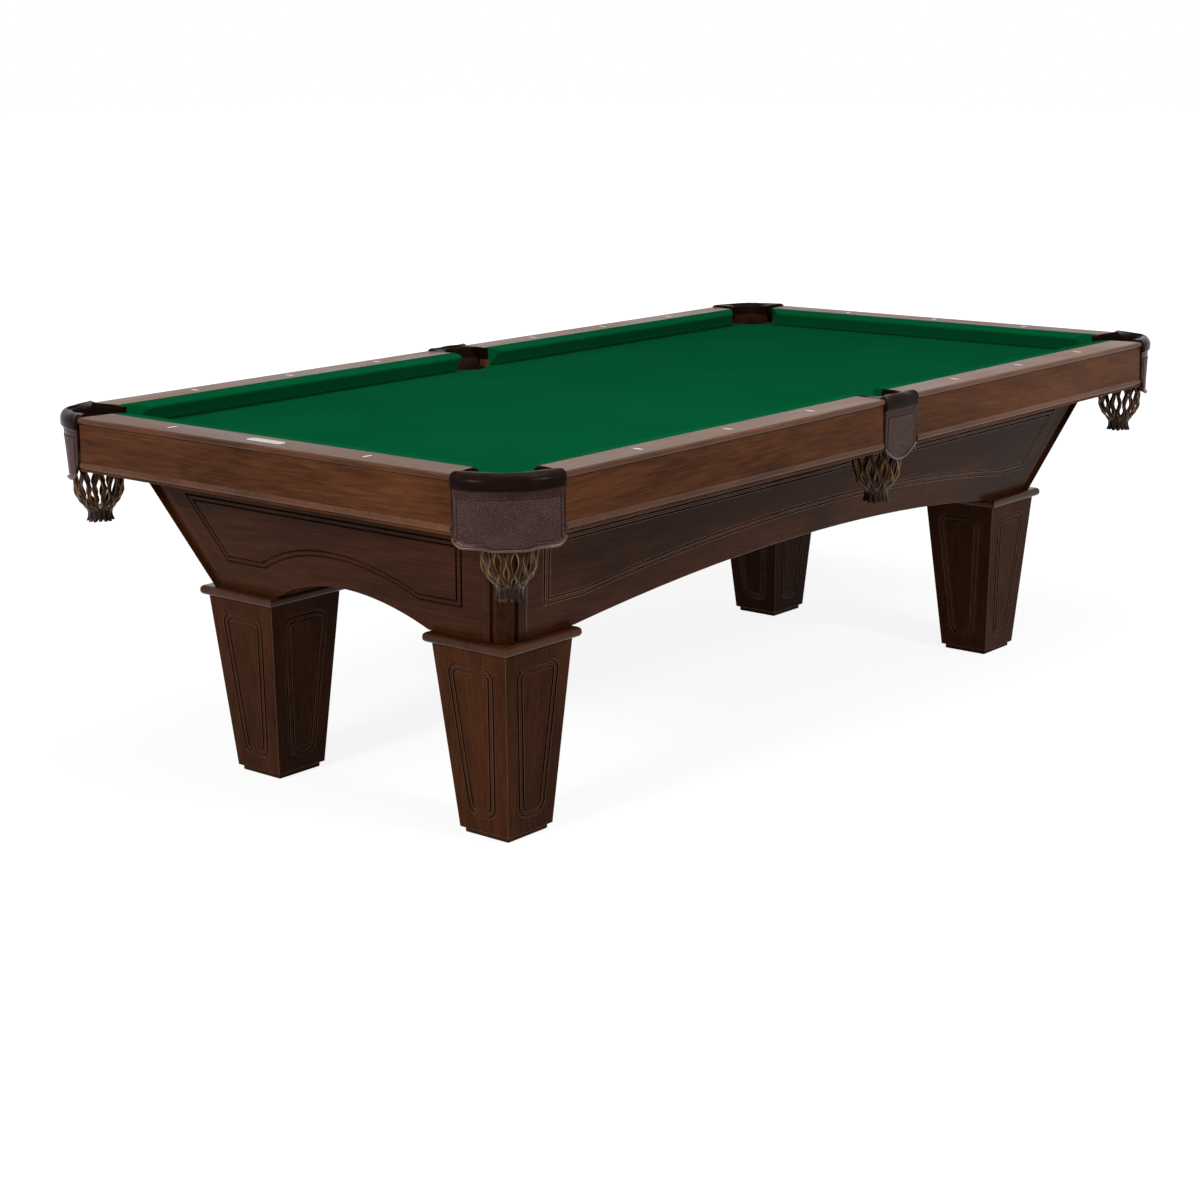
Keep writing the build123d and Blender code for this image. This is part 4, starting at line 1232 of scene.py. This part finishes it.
    def make(self, name: str, side: bool, sx: int, sy: int) -> Object:
        """Make one iron.

        Args:
            name: Its name.
            side: Whether it is a side iron.
            sx: Sign along X.
            sy: Sign along Y.

        Returns:
            The iron.
        """
        centre = Vector((0, SIZES.side_y, 0)) if side else Vector((SIZES.corner_x, SIZES.corner_y, 0))
        facing = math.pi / 2 if side else math.pi / 4
        arm = []
        for place, front in self.edge(side):
            gap = place - centre
            turn = math.atan2(gap.y, gap.x) - facing
            arm.append((turn if turn > -0.01 else turn + 2 * math.pi, gap.length, front))
        other = [(-turn, far, front) for turn, far, front in reversed(arm[1:])]
        rows = []
        for turn, outer, front in other + arm:
            size = abs(turn)
            inner = SIZES.hole if size <= math.pi / 2 else SIZES.hole / math.sin(size)
            way = Vector((math.cos(facing + turn), math.sin(facing + turn), 0))
            crown = SIZES.iron_crown * min(1.0, front / self.arm_share)
            rise_out = SIZES.iron_top + crown - self.tip_fall * max(0.0, size / self.tip_turn_out - 1)
            rise_in = SIZES.iron_top + self.inner_rise - self.tip_fall * max(0.0, size / self.tip_turn_in - 1)
            row = []
            for far, height in self.section(inner, outer, front, rise_in, rise_out):
                place = centre + way * far
                row.append(Vector((sx * place.x, sy * place.y, height)))
            rows.append(row)
        draft = Draft()
        draft.loft(rows)
        iron = draft.piece(name, [self.finishes.iron_hide, self.finishes.arm_hide], self.sharp)
        outward = Vector((sx * math.cos(facing), sy * math.sin(facing), 0))
        middle = Vector((sx * centre.x, sy * centre.y, 0))
        for face in iron.data.polygons:
            face.material_index = 1 if (face.center - middle).dot(outward) < self.arm_line else 0
        return iron

    def build(self) -> None:
        """Make the six irons and fix them between the rails."""
        for node, side, sx, sy in pockets():
            seat(self.make(f"iron_{node}", side, sx, sy), [f"pocket_iron_{node}"])


@dataclass
class PocketShield:
    """A tooled leather shield hung under an iron."""

    finishes: Finishes
    weave: Scatter
    stitching: Scatter
    thick: float = 0.0038
    drop: float = 0.1115
    lobe: float = 0.026
    tuck: float = 0.010
    flare: float = 0.0055
    flare_height: float = 0.017
    pitch_across: float = 0.0050
    pitch_down: float = 0.0064
    overlap: float = 1.02
    diamond_height: float = 0.0032
    field_top: float = 0.0195
    field_foot: float = 0.0105
    raised: float = 0.0003
    border: float = 0.0115
    gap: float = 0.0045
    inset: float = 0.001
    side_inset: float = 0.0012
    side_lobe: float = 0.010
    side_rise: float = 0.027
    side_wave: float = 0.0025
    side_power: float = 1.4
    side_curl: float = 0.4
    side_tuck: float = 0.004
    side_lean: float = 0.05
    tongue: float = 0.0052
    lobe_start: float = 0.28
    lobe_blend: float = 0.20
    ruffle: float = 0.25
    columns: int = 96
    side_columns: int = 60
    levels: int = 16
    sharp: float = 48.0
    ribs: tuple[Pair, ...] = ((0.0065, 0.0010), (0.0100, 0.0007), (0.0150, 0.0009))
    rib_gap: float = 0.004
    sunk: float = 0.0002
    welt: float = 0.0008
    welt_inner: float = 0.0015
    welt_outer: float = 0.0022
    welt_top: float = 0.758
    welt_foot: float = 0.006
    welt_steps: int = 20
    lip_height: float = 0.0012
    lip_radius: float = 0.0027
    line_height: float = 0.0085
    line_inset: float = 0.009
    line_radius: float = 0.0011
    stitches: int = 23
    stitch_inset: float = 0.0060
    stitch_top: float = 0.018
    stitch_pitch: float = 0.0036
    stitch_out: float = 0.0004
    stitch_slant: float = 0.9
    stitch_size: Triple = (0.0052, 0.0011, 0.0010)

    def half(self, side: bool) -> float:
        """Half the width of a shield along its face."""
        return SIZES.side_gap - self.gap if side else (SIZES.corner_cut - self.inset) * math.pi / 4 - self.gap

    def lower(self, across: float, side: bool) -> float:
        """Height of the lower edge.

        Args:
            across: Place along the face.
            side: Whether it is a side shield.

        Returns:
            The height.
        """
        half = self.half(side)
        size = min(abs(across), half) / half
        base = SIZES.iron_under - self.drop
        if side:
            wave = self.side_rise * size**self.side_power - self.side_wave * math.sin(math.pi * size)
            return base + wave + self.corner_lift(half * (1 - size), self.side_lobe)
        return base + self.tongue * self.lobe_share(size) + self.corner_lift(half * (1 - size), self.lobe)

    def lobe_share(self, size: float) -> float:
        """How far a place belongs to a side lobe, from the middle tongue at 0 to the lobe at 1."""
        step = min(1.0, max(0.0, (size - self.lobe_start) / self.lobe_blend))
        return step * step * (3 - 2 * step)

    @staticmethod
    def corner_lift(edge: float, lobe: float) -> float:
        """How far a rounded lower corner rises.

        Args:
            edge: Distance from the side edge.
            lobe: Radius of the corner.

        Returns:
            The rise.
        """
        if edge >= lobe:
            return 0.0
        return lobe - math.sqrt(max(0.0, lobe**2 - (lobe - edge) ** 2))

    def face(self, across: float, height: float, side: bool, out: float = 0.0) -> Spot:
        """A place on the outer face of the master shield.

        Args:
            across: Place along the face.
            height: Its height.
            side: Whether it is a side shield.
            out: How far it stands out from the face.

        Returns:
            The place, the way out of the face and the way along it.
        """
        down = (SIZES.iron_under - height) / self.drop
        near = 1.0 - (height - self.lower(across, side)) / self.flare_height
        curl = self.flare * max(0.0, near) ** 2
        tilt = max(0.0, near) * 2 * self.flare / self.flare_height
        if side:
            out += curl * self.side_curl * abs(across) / self.half(side)
            far = SIZES.half_width - self.side_inset + out - self.side_tuck * down * down
            lean = Vector((0, 1, self.side_lean)).normalized()
            return Vector((across, far, height)), lean, Vector((1, 0, 0))
        ruffle = self.ruffle + (1 - self.ruffle) * self.lobe_share(abs(across) / self.half(False))
        out += curl * ruffle
        radius = SIZES.corner_cut - self.inset
        turn = math.pi / 4 - across / radius
        inward = self.tuck * down * math.cos(2 * (turn - math.pi / 4)) ** 2
        way = Vector((math.cos(turn), math.sin(turn), 0))
        place = Vector((SIZES.arc_x, SIZES.arc_y, height)) + way * (radius - inward + out)
        lean = Vector((way.x, way.y, tilt * ruffle - self.tuck / self.drop)).normalized()
        return place, lean, Vector((math.sin(turn), -math.cos(turn), 0))

    def line(self, places: list[Pair], side: bool, out: float) -> list[Vector]:
        """Points on the outer face of the master shield, from places along it and their heights."""
        return [self.face(across, height, side, out)[0] for across, height in places]

    def hide(self, side: bool) -> Draft:
        """The leather of the master shield with its ribs and rolled lip.

        Args:
            side: Whether it is a side shield.

        Returns:
            The mesh under construction.
        """
        draft = Draft()
        half = self.half(side)
        count = self.side_columns if side else self.columns
        places = [half * (2 * step / count - 1) for step in range(count + 1)]
        rows = []
        for across in places:
            low = self.lower(across, side)
            fall = low - SIZES.iron_under
            heights = [SIZES.iron_under + fall * step / self.levels for step in range(self.levels + 1)]
            outer = self.line([(across, height) for height in heights], side, 0.0)
            inner = self.line([(across, height) for height in reversed(heights)], side, -self.thick)
            rows.append(outer + inner)
        draft.loft(rows)
        for fall, radius in self.ribs:
            level = [(place * (half - self.rib_gap) / half, SIZES.iron_under - fall) for place in places]
            draft.tube(self.line(level, side, self.sunk), radius, 6, 0)
        for sign in (-1, 1):
            for inset in (self.border - self.welt_inner, self.welt_outer):
                across = sign * (half - inset)
                fall = self.lower(across, side) + self.welt_foot - self.welt_top
                steps = range(self.welt_steps + 1)
                upright = [(across, self.welt_top + fall * step / self.welt_steps) for step in steps]
                draft.tube(self.line(upright, side, self.sunk), self.welt, 6, 0)
        # Finish 1, the lighter lip leather, paints a highlight on the rolled lip and the sunk line.
        lip = [(across, self.lower(across, side) + self.lip_height) for across in places[1:-1]]
        draft.tube(self.line(lip, side, self.raised), self.lip_radius, 10, 1)
        share = half - self.line_inset
        inner_line = [
            (place * share / half, self.lower(place, side) + self.line_height) for place in places[2:-2]
        ]
        draft.tube(self.line(inner_line, side, self.sunk), self.line_radius, 6, 1)
        return draft

    def lattice(self, side: bool) -> list[Spot]:
        """Where the diamonds of the tooled field stand on the master shield.

        Args:
            side: Whether it is a side shield.

        Returns:
            Places with the way out and the way along.
        """
        half = self.half(side) - self.border
        rows = int(self.drop / (self.pitch_down / 2))
        points = []
        for row in range(rows):
            height = SIZES.iron_under - self.field_top - row * self.pitch_down / 2
            shift = self.pitch_across / 2 if row % 2 else 0.0
            count = int(half / self.pitch_across) + 1
            for step in range(-count, count + 1):
                across = step * self.pitch_across + shift
                if abs(across) < half and height > self.lower(across, side) + self.field_foot:
                    points.append(self.face(across, height, side, self.raised))
        return points

    def seams(self, side: bool) -> list[Spot]:
        """Where the zigzag stitches lie on the master shield.

        Args:
            side: Whether it is a side shield.

        Returns:
            Places with the way out and the way along.
        """
        half = self.half(side)
        points = []
        for sign in (-1, 1):
            for step in range(self.stitches):
                across = sign * (half - self.stitch_inset)
                height = SIZES.iron_under - self.stitch_top - step * self.stitch_pitch
                place, out, along = self.face(across, height, side, self.stitch_out)
                slant = along * (self.stitch_slant if step % 2 else -self.stitch_slant) + Vector((0, 0, -1))
                points.append((place, out, slant.normalized()))
        return points

    def make(self, node: str, side: bool, sx: int, sy: int) -> None:
        """Make one shield with its tooling and stitches, and fix it in place.

        Args:
            node: Name of its pocket.
            side: Whether it is a side shield.
            sx: Sign along X.
            sy: Sign along Y.
        """

        def turned(point: Vector) -> Vector:
            """The same place or direction in this quarter of the table."""
            return Vector((sx * point.x, sy * point.y, point.z))

        draft = self.hide(side)
        draft.points = [turned(point) for point in draft.points]
        hide = draft.piece(f"shield_{node}", [self.finishes.shield_hide, self.finishes.lip_hide], self.sharp)
        seat(hide, [f"pocket_shield_{node}"])
        points = [tuple(turned(part) for part in point) for point in self.lattice(side)]
        size = (self.pitch_across * self.overlap, self.pitch_down * self.overlap, self.diamond_height)
        seat(self.weave.spread(f"shield_weave_{node}", points, size), [])
        points = [tuple(turned(part) for part in point) for point in self.seams(side)]
        seat(self.stitching.spread(f"shield_stitches_{node}", points, self.stitch_size), [])

    def build(self) -> None:
        """Make the six shields."""
        for pocket in pockets():
            self.make(*pocket)


@dataclass
class PocketNet:
    """A slit leather net: a collar, straps drawn apart into a lattice, a drawn neck and a ruffled cuff."""

    finishes: Finishes
    straps: int = 20
    strap_width: float = 0.0092
    strap_thick: float = 0.0034
    stations: int = 72
    top: float = 0.744
    foot: float = 0.5865
    neck: float = 0.5915
    bottom: float = 0.5640
    joints: tuple[float, ...] = (0.728, 0.697, 0.668, 0.640, 0.614, 0.599, 0.588)
    profile: tuple[Pair, ...] = (
        (0.760, 0.0512), (0.735, 0.0512), (0.700, 0.0508), (0.660, 0.0505), (0.638, 0.0502),
        (0.627, 0.0490), (0.618, 0.0462), (0.610, 0.0420), (0.603, 0.0368), (0.597, 0.0322),
        (0.5915, 0.0280), (0.587, 0.0252), (0.581, 0.0236), (0.575, 0.0236), (0.569, 0.0250),
        (0.564, 0.0272),
    )
    strap_share: float = 0.80
    strap_nick: float = 0.2
    sway: float = 0.0012
    sway_start: float = 3.1
    sway_rate: float = 60.0
    twist: float = 0.50
    crown: float = 0.0005
    collar_wall: Pair = (0.0501, 0.0530)
    collar_steps: int = 72
    collar_gap: float = 0.0012
    collar_drop: float = 0.001
    cuff_steps: int = 168
    cuff_levels: int = 14
    cuff_wall: float = 0.0030
    folds: int = 14
    fold_drift: float = 0.6
    fold_top: float = 0.0003
    fold_growth: float = 0.0013
    nick: float = 0.0042
    hem: float = 0.0008
    sharp: float = 44.0
    floor: tuple[Pair, ...] = (
        (0.0275, 0.5930), (0.0150, 0.5910), (0.0010, 0.5905), (0.0010, 0.5865), (0.0255, 0.5865),
    )
    floor_steps: int = 36

    def radius(self, height: float) -> float:
        """Middle radius of the straps at a height.

        Args:
            height: The height.

        Returns:
            The radius.
        """
        for (high, first), (low, second) in zip(self.profile, self.profile[1:]):
            if height >= low:
                share = (high - height) / (high - low)
                return first + (second - first) * min(1.0, max(0.0, share))
        return self.profile[-1][1]

    def phase(self, height: float) -> float:
        """How far the straps have swung at a height, half a turn from joint to joint.

        Args:
            height: The height.

        Returns:
            The turn in radians.
        """
        if height >= self.joints[0]:
            return 0.0
        for step, (high, low) in enumerate(zip(self.joints, self.joints[1:])):
            if height >= low:
                return math.pi * (step + (high - height) / (high - low))
        return math.pi * (len(self.joints) - 1)

    def strap(self, draft: Draft, index: int, centre: Vector) -> None:
        """Add one strap to a net.

        Args:
            draft: The mesh under construction.
            index: Number of the strap.
            centre: Middle of the pocket.
        """
        pitch = 2 * math.pi / self.straps
        base = (index + 0.5) * pitch
        sign = 1 if index % 2 == 0 else -1
        rows = []
        for step in range(self.stations + 1):
            height = self.top + (self.foot - self.top) * step / self.stations
            radius = self.radius(height)
            spacing = radius * pitch
            wide = min(self.strap_width, spacing * self.strap_share)
            phase = self.phase(height)
            sway = self.sway * math.sin(self.sway_start * index + self.sway_rate * height)
            shift = (sign * math.cos(phase) * max(0.0, spacing - wide) / 2 + sway) / radius
            twist = sign * self.twist * math.sin(phase)
            turn = base + shift
            out = Vector((math.cos(turn), math.sin(turn), 0))
            side = Vector((-math.sin(turn), math.cos(turn), 0))
            lean = side * math.cos(twist) + out * math.sin(twist)
            face = out * math.cos(twist) - side * math.sin(twist)
            half, deep, nick = wide / 2, self.strap_thick / 2, self.strap_thick * self.strap_nick
            middle = centre + out * radius + Vector((0, 0, height))
            corners = [
                (-half, -deep + nick),
                (-half, deep - nick),
                (-half + nick, deep),
                (0.0, deep + self.crown),
                (half - nick, deep),
                (half, deep - nick),
                (half, -deep + nick),
                (half - nick, -deep),
                (-half + nick, -deep),
            ]
            rows.append([middle + lean * a + face * b for a, b in corners])
        draft.loft(rows, [1, 1, 0, 0, 1, 1, 1, 0, 1])

    def collar(self, draft: Draft, centre: Vector, inward: float) -> None:
        """Add the plain collar, open to the table above the bed.

        Args:
            draft: The mesh under construction.
            centre: Middle of the pocket.
            inward: Direction of the table, in radians.
        """
        rows = []
        inner, outer = self.collar_wall
        for step in range(self.collar_steps + 1):
            turn = inward + 2 * math.pi * step / self.collar_steps
            way = Vector((math.cos(turn), math.sin(turn), 0))
            open_side = math.cos(turn - inward) > 0.0
            high = SIZES.bed - self.collar_gap if open_side else SIZES.iron_under
            low = SIZES.collar_under - self.collar_drop
            profile = [(inner, high), (outer, high), (outer, low), (inner, low)]
            rows.append([centre + way * far + Vector((0, 0, height)) for far, height in profile])
        draft.loft(rows, 0, False)

    def cuff(self, draft: Draft, centre: Vector) -> None:
        """Add the ruffled cuff under the neck and the leather floor inside it.

        Args:
            draft: The mesh under construction.
            centre: Middle of the pocket.
        """
        wall = self.cuff_wall
        rows = []
        for level in range(self.cuff_levels + 1):
            share = level / self.cuff_levels
            row = []
            for step in range(self.cuff_steps):
                turn = 2 * math.pi * step / self.cuff_steps
                fold = math.cos(self.folds * turn + self.fold_drift * math.sin(3 * turn))
                nick = self.nick * max(0.0, -fold) ** 3
                hem = self.bottom + nick + self.hem * math.sin(5 * turn)
                height = self.neck + (hem - self.neck) * share
                far = self.radius(height) + wall / 2 + (self.fold_top + self.fold_growth * share) * fold
                row.append(centre + Vector((far * math.cos(turn), far * math.sin(turn), height)))
            rows.append(row)
        inside = []
        for row in reversed(rows):
            line = []
            for point in row:
                gap = Vector((point.x - centre.x, point.y - centre.y, 0))
                line.append(point - gap.normalized() * wall)
            inside.append(line)
        draft.loft(rows + inside + rows[:1], 2, False)
        rows = []
        turns = [2 * math.pi * step / self.floor_steps for step in range(self.floor_steps)]
        for far, height in self.floor:
            rows.append([centre + Vector((far * math.cos(t), far * math.sin(t), height)) for t in turns])
        draft.loft(rows + rows[:1], 0, False)

    def make(self, node: str, side: bool, sx: int, sy: int) -> None:
        """Make one net and fix it under its iron.

        Args:
            node: Name of its pocket.
            side: Whether it is a side pocket.
            sx: Sign along X.
            sy: Sign along Y.
        """
        x, y = (0, SIZES.side_y) if side else (SIZES.corner_x, SIZES.corner_y)
        centre = Vector((sx * x, sy * y, 0))
        inward = math.atan2(-sy, 0 if side else -sx)
        draft = Draft()
        for index in range(self.straps):
            self.strap(draft, index, centre)
        self.collar(draft, centre, inward)
        self.cuff(draft, centre)
        hides = [self.finishes.net_hide, self.finishes.raw_edge, self.finishes.cuff_hide]
        net = draft.piece(f"net_{node}", hides, self.sharp)
        seat(net, [f"pocket_net_{node}"])

    def build(self) -> None:
        """Make the six nets."""
        for pocket in pockets():
            self.make(*pocket)


@dataclass
class Inlays:
    """Sights and the plain plate let into the rail tops."""

    finishes: Finishes
    sights: Scatter
    length: float = 0.025
    width: float = 0.008
    thick: float = 0.0014
    sunk: float = 0.0004
    plate_half: float = 0.037
    plate_radius: float = 0.013
    plate_steps: int = 64
    plate_rows: tuple[Pair, ...] = (
        (0.0002, 0.7985), (0.0002, 0.8002), (0.0012, 0.8008), (0.0026, 0.8008), (0.0034, 0.8004),
    )

    def places(self) -> list[Spot]:
        """Where the sights lie.

        Returns:
            Places with the way up and the way along each sight.
        """
        up = Vector((0, 0, 1))
        height = SIZES.rail_top - self.sunk
        far_x, far_y = SIZES.half_length - SIZES.sight_inset, SIZES.half_width - SIZES.sight_inset
        points = []
        for sx in (-1, 1):
            for sy in (-1, 1):
                for step in (1, 2, 3):
                    place = Vector((sx * SIZES.sight_pitch * step, sy * far_y, height))
                    points.append((place, up, Vector((0, 1, 0))))
        for sx, steps in ((-1, (-1, 1)), (1, (-1, 0, 1))):
            for step in steps:
                place = Vector((sx * far_x, SIZES.sight_pitch * step, height))
                points.append((place, up, Vector((1, 0, 0))))
        return points

    def build(self) -> None:
        """Make the inlays and fix them in the rails."""
        sights = self.sights.spread("rail_sights", self.places(), (self.length, self.width, self.thick))
        seat(sights, ["sights"])
        draft = Draft()
        middle = Vector((-SIZES.half_length + SIZES.sight_inset, 0, 0))
        rows = []
        for inset, height in self.plate_rows:
            row = []
            for step in range(self.plate_steps):
                turn = 2 * math.pi * step / self.plate_steps
                half = self.plate_half if math.sin(turn) >= 0 else -self.plate_half
                far = self.plate_radius - inset
                row.append(middle + Vector((far * math.cos(turn), half + far * math.sin(turn), height)))
            rows.append(row)
        draft.loft(rows)
        seat(draft.piece("rail_plate", [self.finishes.plate], 30.0), ["nameplate"])


@dataclass
class Inside:
    """Slates, frame, levelers and fasteners, dressed where they stand."""

    finishes: Finishes

    def build(self) -> None:
        """Give each remaining solid its finish."""
        plain = {
            "frame_beams": self.finishes.frame_wood,
            "leg_mount_blocks": self.finishes.frame_wood,
            "slate_head": self.finishes.slate,
            "slate_middle": self.finishes.slate,
            "slate_foot": self.finishes.slate,
            "slate_screws": self.finishes.steel,
            "rail_bolts": self.finishes.steel,
            "leg_bolts": self.finishes.steel,
            "leveler_nuts": self.finishes.steel,
        }
        for quarter in Quarter:
            plain[f"leveler_stud_{quarter.node}"] = self.finishes.steel
        for name, material in plain.items():
            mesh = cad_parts[name].data
            mesh.materials.clear()
            mesh.materials.append(material)
            mesh.polygons.foreach_set("material_index", [0] * len(mesh.polygons))


@dataclass(frozen=True)
class Softbox:
    """A soft lamp: where it hangs, what it faces, its width in metres and its power in watts."""

    name: str
    place: Triple
    aim: Triple
    size: float
    power: float

    def build(self) -> None:
        """Hang the lamp."""
        data = bpy.data.lights.new(self.name, "AREA")
        data.shape = "SQUARE"
        data.size = self.size
        data.energy = self.power
        lamp = bpy.data.objects.new(self.name, data)
        lamp.location = self.place
        lamp.rotation_euler = (Vector(self.aim) - Vector(self.place)).to_track_quat("-Z", "Y").to_euler()
        bpy.context.scene.collection.objects.link(lamp)


@dataclass
class Studio:
    """Camera, floor and soft light."""

    place: Triple = (-4.160443, -3.387975, 1.561017)
    azimuth: float = -50.913
    elevation: float = 11.269
    roll: float = -0.51
    lens: float = 69.851
    shift: Pair = (-0.05, -0.08333)
    ambient: float = 0.24
    floor_glow: float = 0.72
    floor_white: float = 1.22
    floor_fade: Pair = (1.6, 5.0)
    floor_tones: Pair = (0.45, 0.92)
    floor_half: float = 40.0
    floor_drop: float = 0.0002
    sensor: float = 36.0
    clip: float = 200.0
    lamps: tuple[Softbox, ...] = (
        Softbox("key_softbox", (-6.2, -0.1, 3.2), (-0.4, -0.2, 0.6), 1.2, 172.0),
        Softbox("side_softbox", (-0.2, -5.2, 3.9), (0.1, -0.5, 0.6), 1.2, 118.0),
        Softbox("top_softbox", (-0.5, -0.9, 3.8), (0.1, 0.1, 0.7), 2.4, 66.0),
    )

    def camera(self) -> None:
        """Set up the camera where the photograph was taken."""
        turn, rise, roll = (math.radians(x) for x in (self.azimuth, self.elevation, self.roll))
        back = Vector((math.sin(turn) * math.cos(rise), -math.cos(turn) * math.cos(rise), math.sin(rise)))
        right = Vector((0, 0, 1)).cross(back).normalized()
        up = back.cross(right)
        across = right * math.cos(roll) + up * math.sin(roll)
        upward = up * math.cos(roll) - right * math.sin(roll)
        data = bpy.data.cameras.new("camera")
        data.sensor_width = self.sensor
        data.lens = self.lens
        data.shift_x, data.shift_y = self.shift
        data.clip_end = self.clip
        camera = bpy.data.objects.new("camera", data)
        camera.matrix_world = Matrix((across, upward, back)).transposed().to_4x4()
        camera.location = self.place
        bpy.context.scene.collection.objects.link(camera)
        bpy.context.scene.camera = camera

    @staticmethod
    def white(tree: Tree, dim: Node, bright: Node) -> Node:
        """Show one shader to the camera and mirrors, and another to everything else.

        Args:
            tree: The node tree.
            dim: Shader that lights the table.
            bright: Shader that is seen.

        Returns:
            The node that mixes them.
        """
        rays = tree.add("ShaderNodeLightPath")
        seen = tree.add("ShaderNodeMath", operation="ADD", use_clamp=True)
        both = tree.add("ShaderNodeMath", operation="ADD", use_clamp=True)
        mix = tree.add("ShaderNodeMixShader")
        tree.join(rays, "Is Camera Ray", seen, 0)
        tree.join(rays, "Is Transmission Ray", seen, 1)
        tree.join(seen, 0, both, 0)
        tree.join(rays, "Is Glossy Ray", both, 1)
        tree.join(both, 0, mix, "Fac")
        tree.join(dim, 0, mix, 1)
        tree.join(bright, 0, mix, 2)
        return mix

    def floor(self) -> None:
        """Lay a pale floor that is white to the camera and keeps a faint shadow near the table."""
        draft = Draft()
        far = self.floor_half
        corners = ((-far, -far), (far, -far), (far, far), (-far, far))
        draft.cap(draft.ring([Vector((x, y, 0)) for x, y in corners]))
        shader = Shader("pale_floor")
        grey, pale = ((tone, tone, tone, 1.0) for tone in self.floor_tones)
        matte = shader.add("ShaderNodeBsdfDiffuse", {"Color": grey})
        lit = shader.add("ShaderNodeBsdfDiffuse", {"Color": pale})
        glow = shader.add("ShaderNodeEmission", {"Strength": self.floor_white})
        spot = shader.add("ShaderNodeTexCoord")
        away = shader.add("ShaderNodeVectorMath", operation="LENGTH")
        near, end = self.floor_fade
        values = {"From Min": near, "From Max": end, "To Min": self.floor_glow, "To Max": 1.0}
        fade = shader.add("ShaderNodeMapRange", values)
        seen = shader.add("ShaderNodeMixShader")
        shader.join(spot, "Object", away, 0)
        shader.join(away, "Value", fade, "Value")
        shader.join(fade, "Result", seen, "Fac")
        shader.join(lit, 0, seen, 1)
        shader.join(glow, 0, seen, 2)
        shader.join(self.white(shader, matte, seen), 0, shader.output, "Surface")
        floor = draft.piece("studio_floor", [shader.material])
        floor.location.z = -self.floor_drop

    def world(self) -> None:
        """Surround the table with white."""
        world = bpy.data.worlds.new("studio")
        bpy.context.scene.world = world
        world.use_nodes = True
        tree = Tree(world.node_tree)
        dim = tree.add("ShaderNodeBackground", {"Color": WHITE, "Strength": self.ambient})
        bright = tree.add("ShaderNodeBackground", {"Color": WHITE, "Strength": 1.0})
        output = tree.add("ShaderNodeOutputWorld")
        tree.join(self.white(tree, dim, bright), 0, output, "Surface")

    def build(self) -> None:
        """Set up the whole studio."""
        self.camera()
        self.world()
        self.floor()
        for lamp in self.lamps:
            lamp.build()
        bpy.context.scene.view_settings.view_transform = "Standard"


def main() -> None:
    """Build the table and its studio in order."""
    logging.basicConfig(level=logging.INFO, format="%(name)s %(message)s")
    finishes = Finishes()
    weave = Scatter(Stud.DIAMOND, finishes.weave_hide)
    stitching = Scatter(Stud.STITCH, finishes.thread)
    sights = Scatter(Stud.SIGHT, finishes.pearl)
    Studio().build()
    Woodwork(finishes).build()
    Cushions(finishes).build()
    BedCloth(finishes).build()
    PocketIron(finishes).build()
    PocketShield(finishes, weave, stitching).build()
    PocketNet(finishes).build()
    Inlays(finishes, sights).build()
    Inside(finishes).build()


if __name__ == "__main__":
    main()
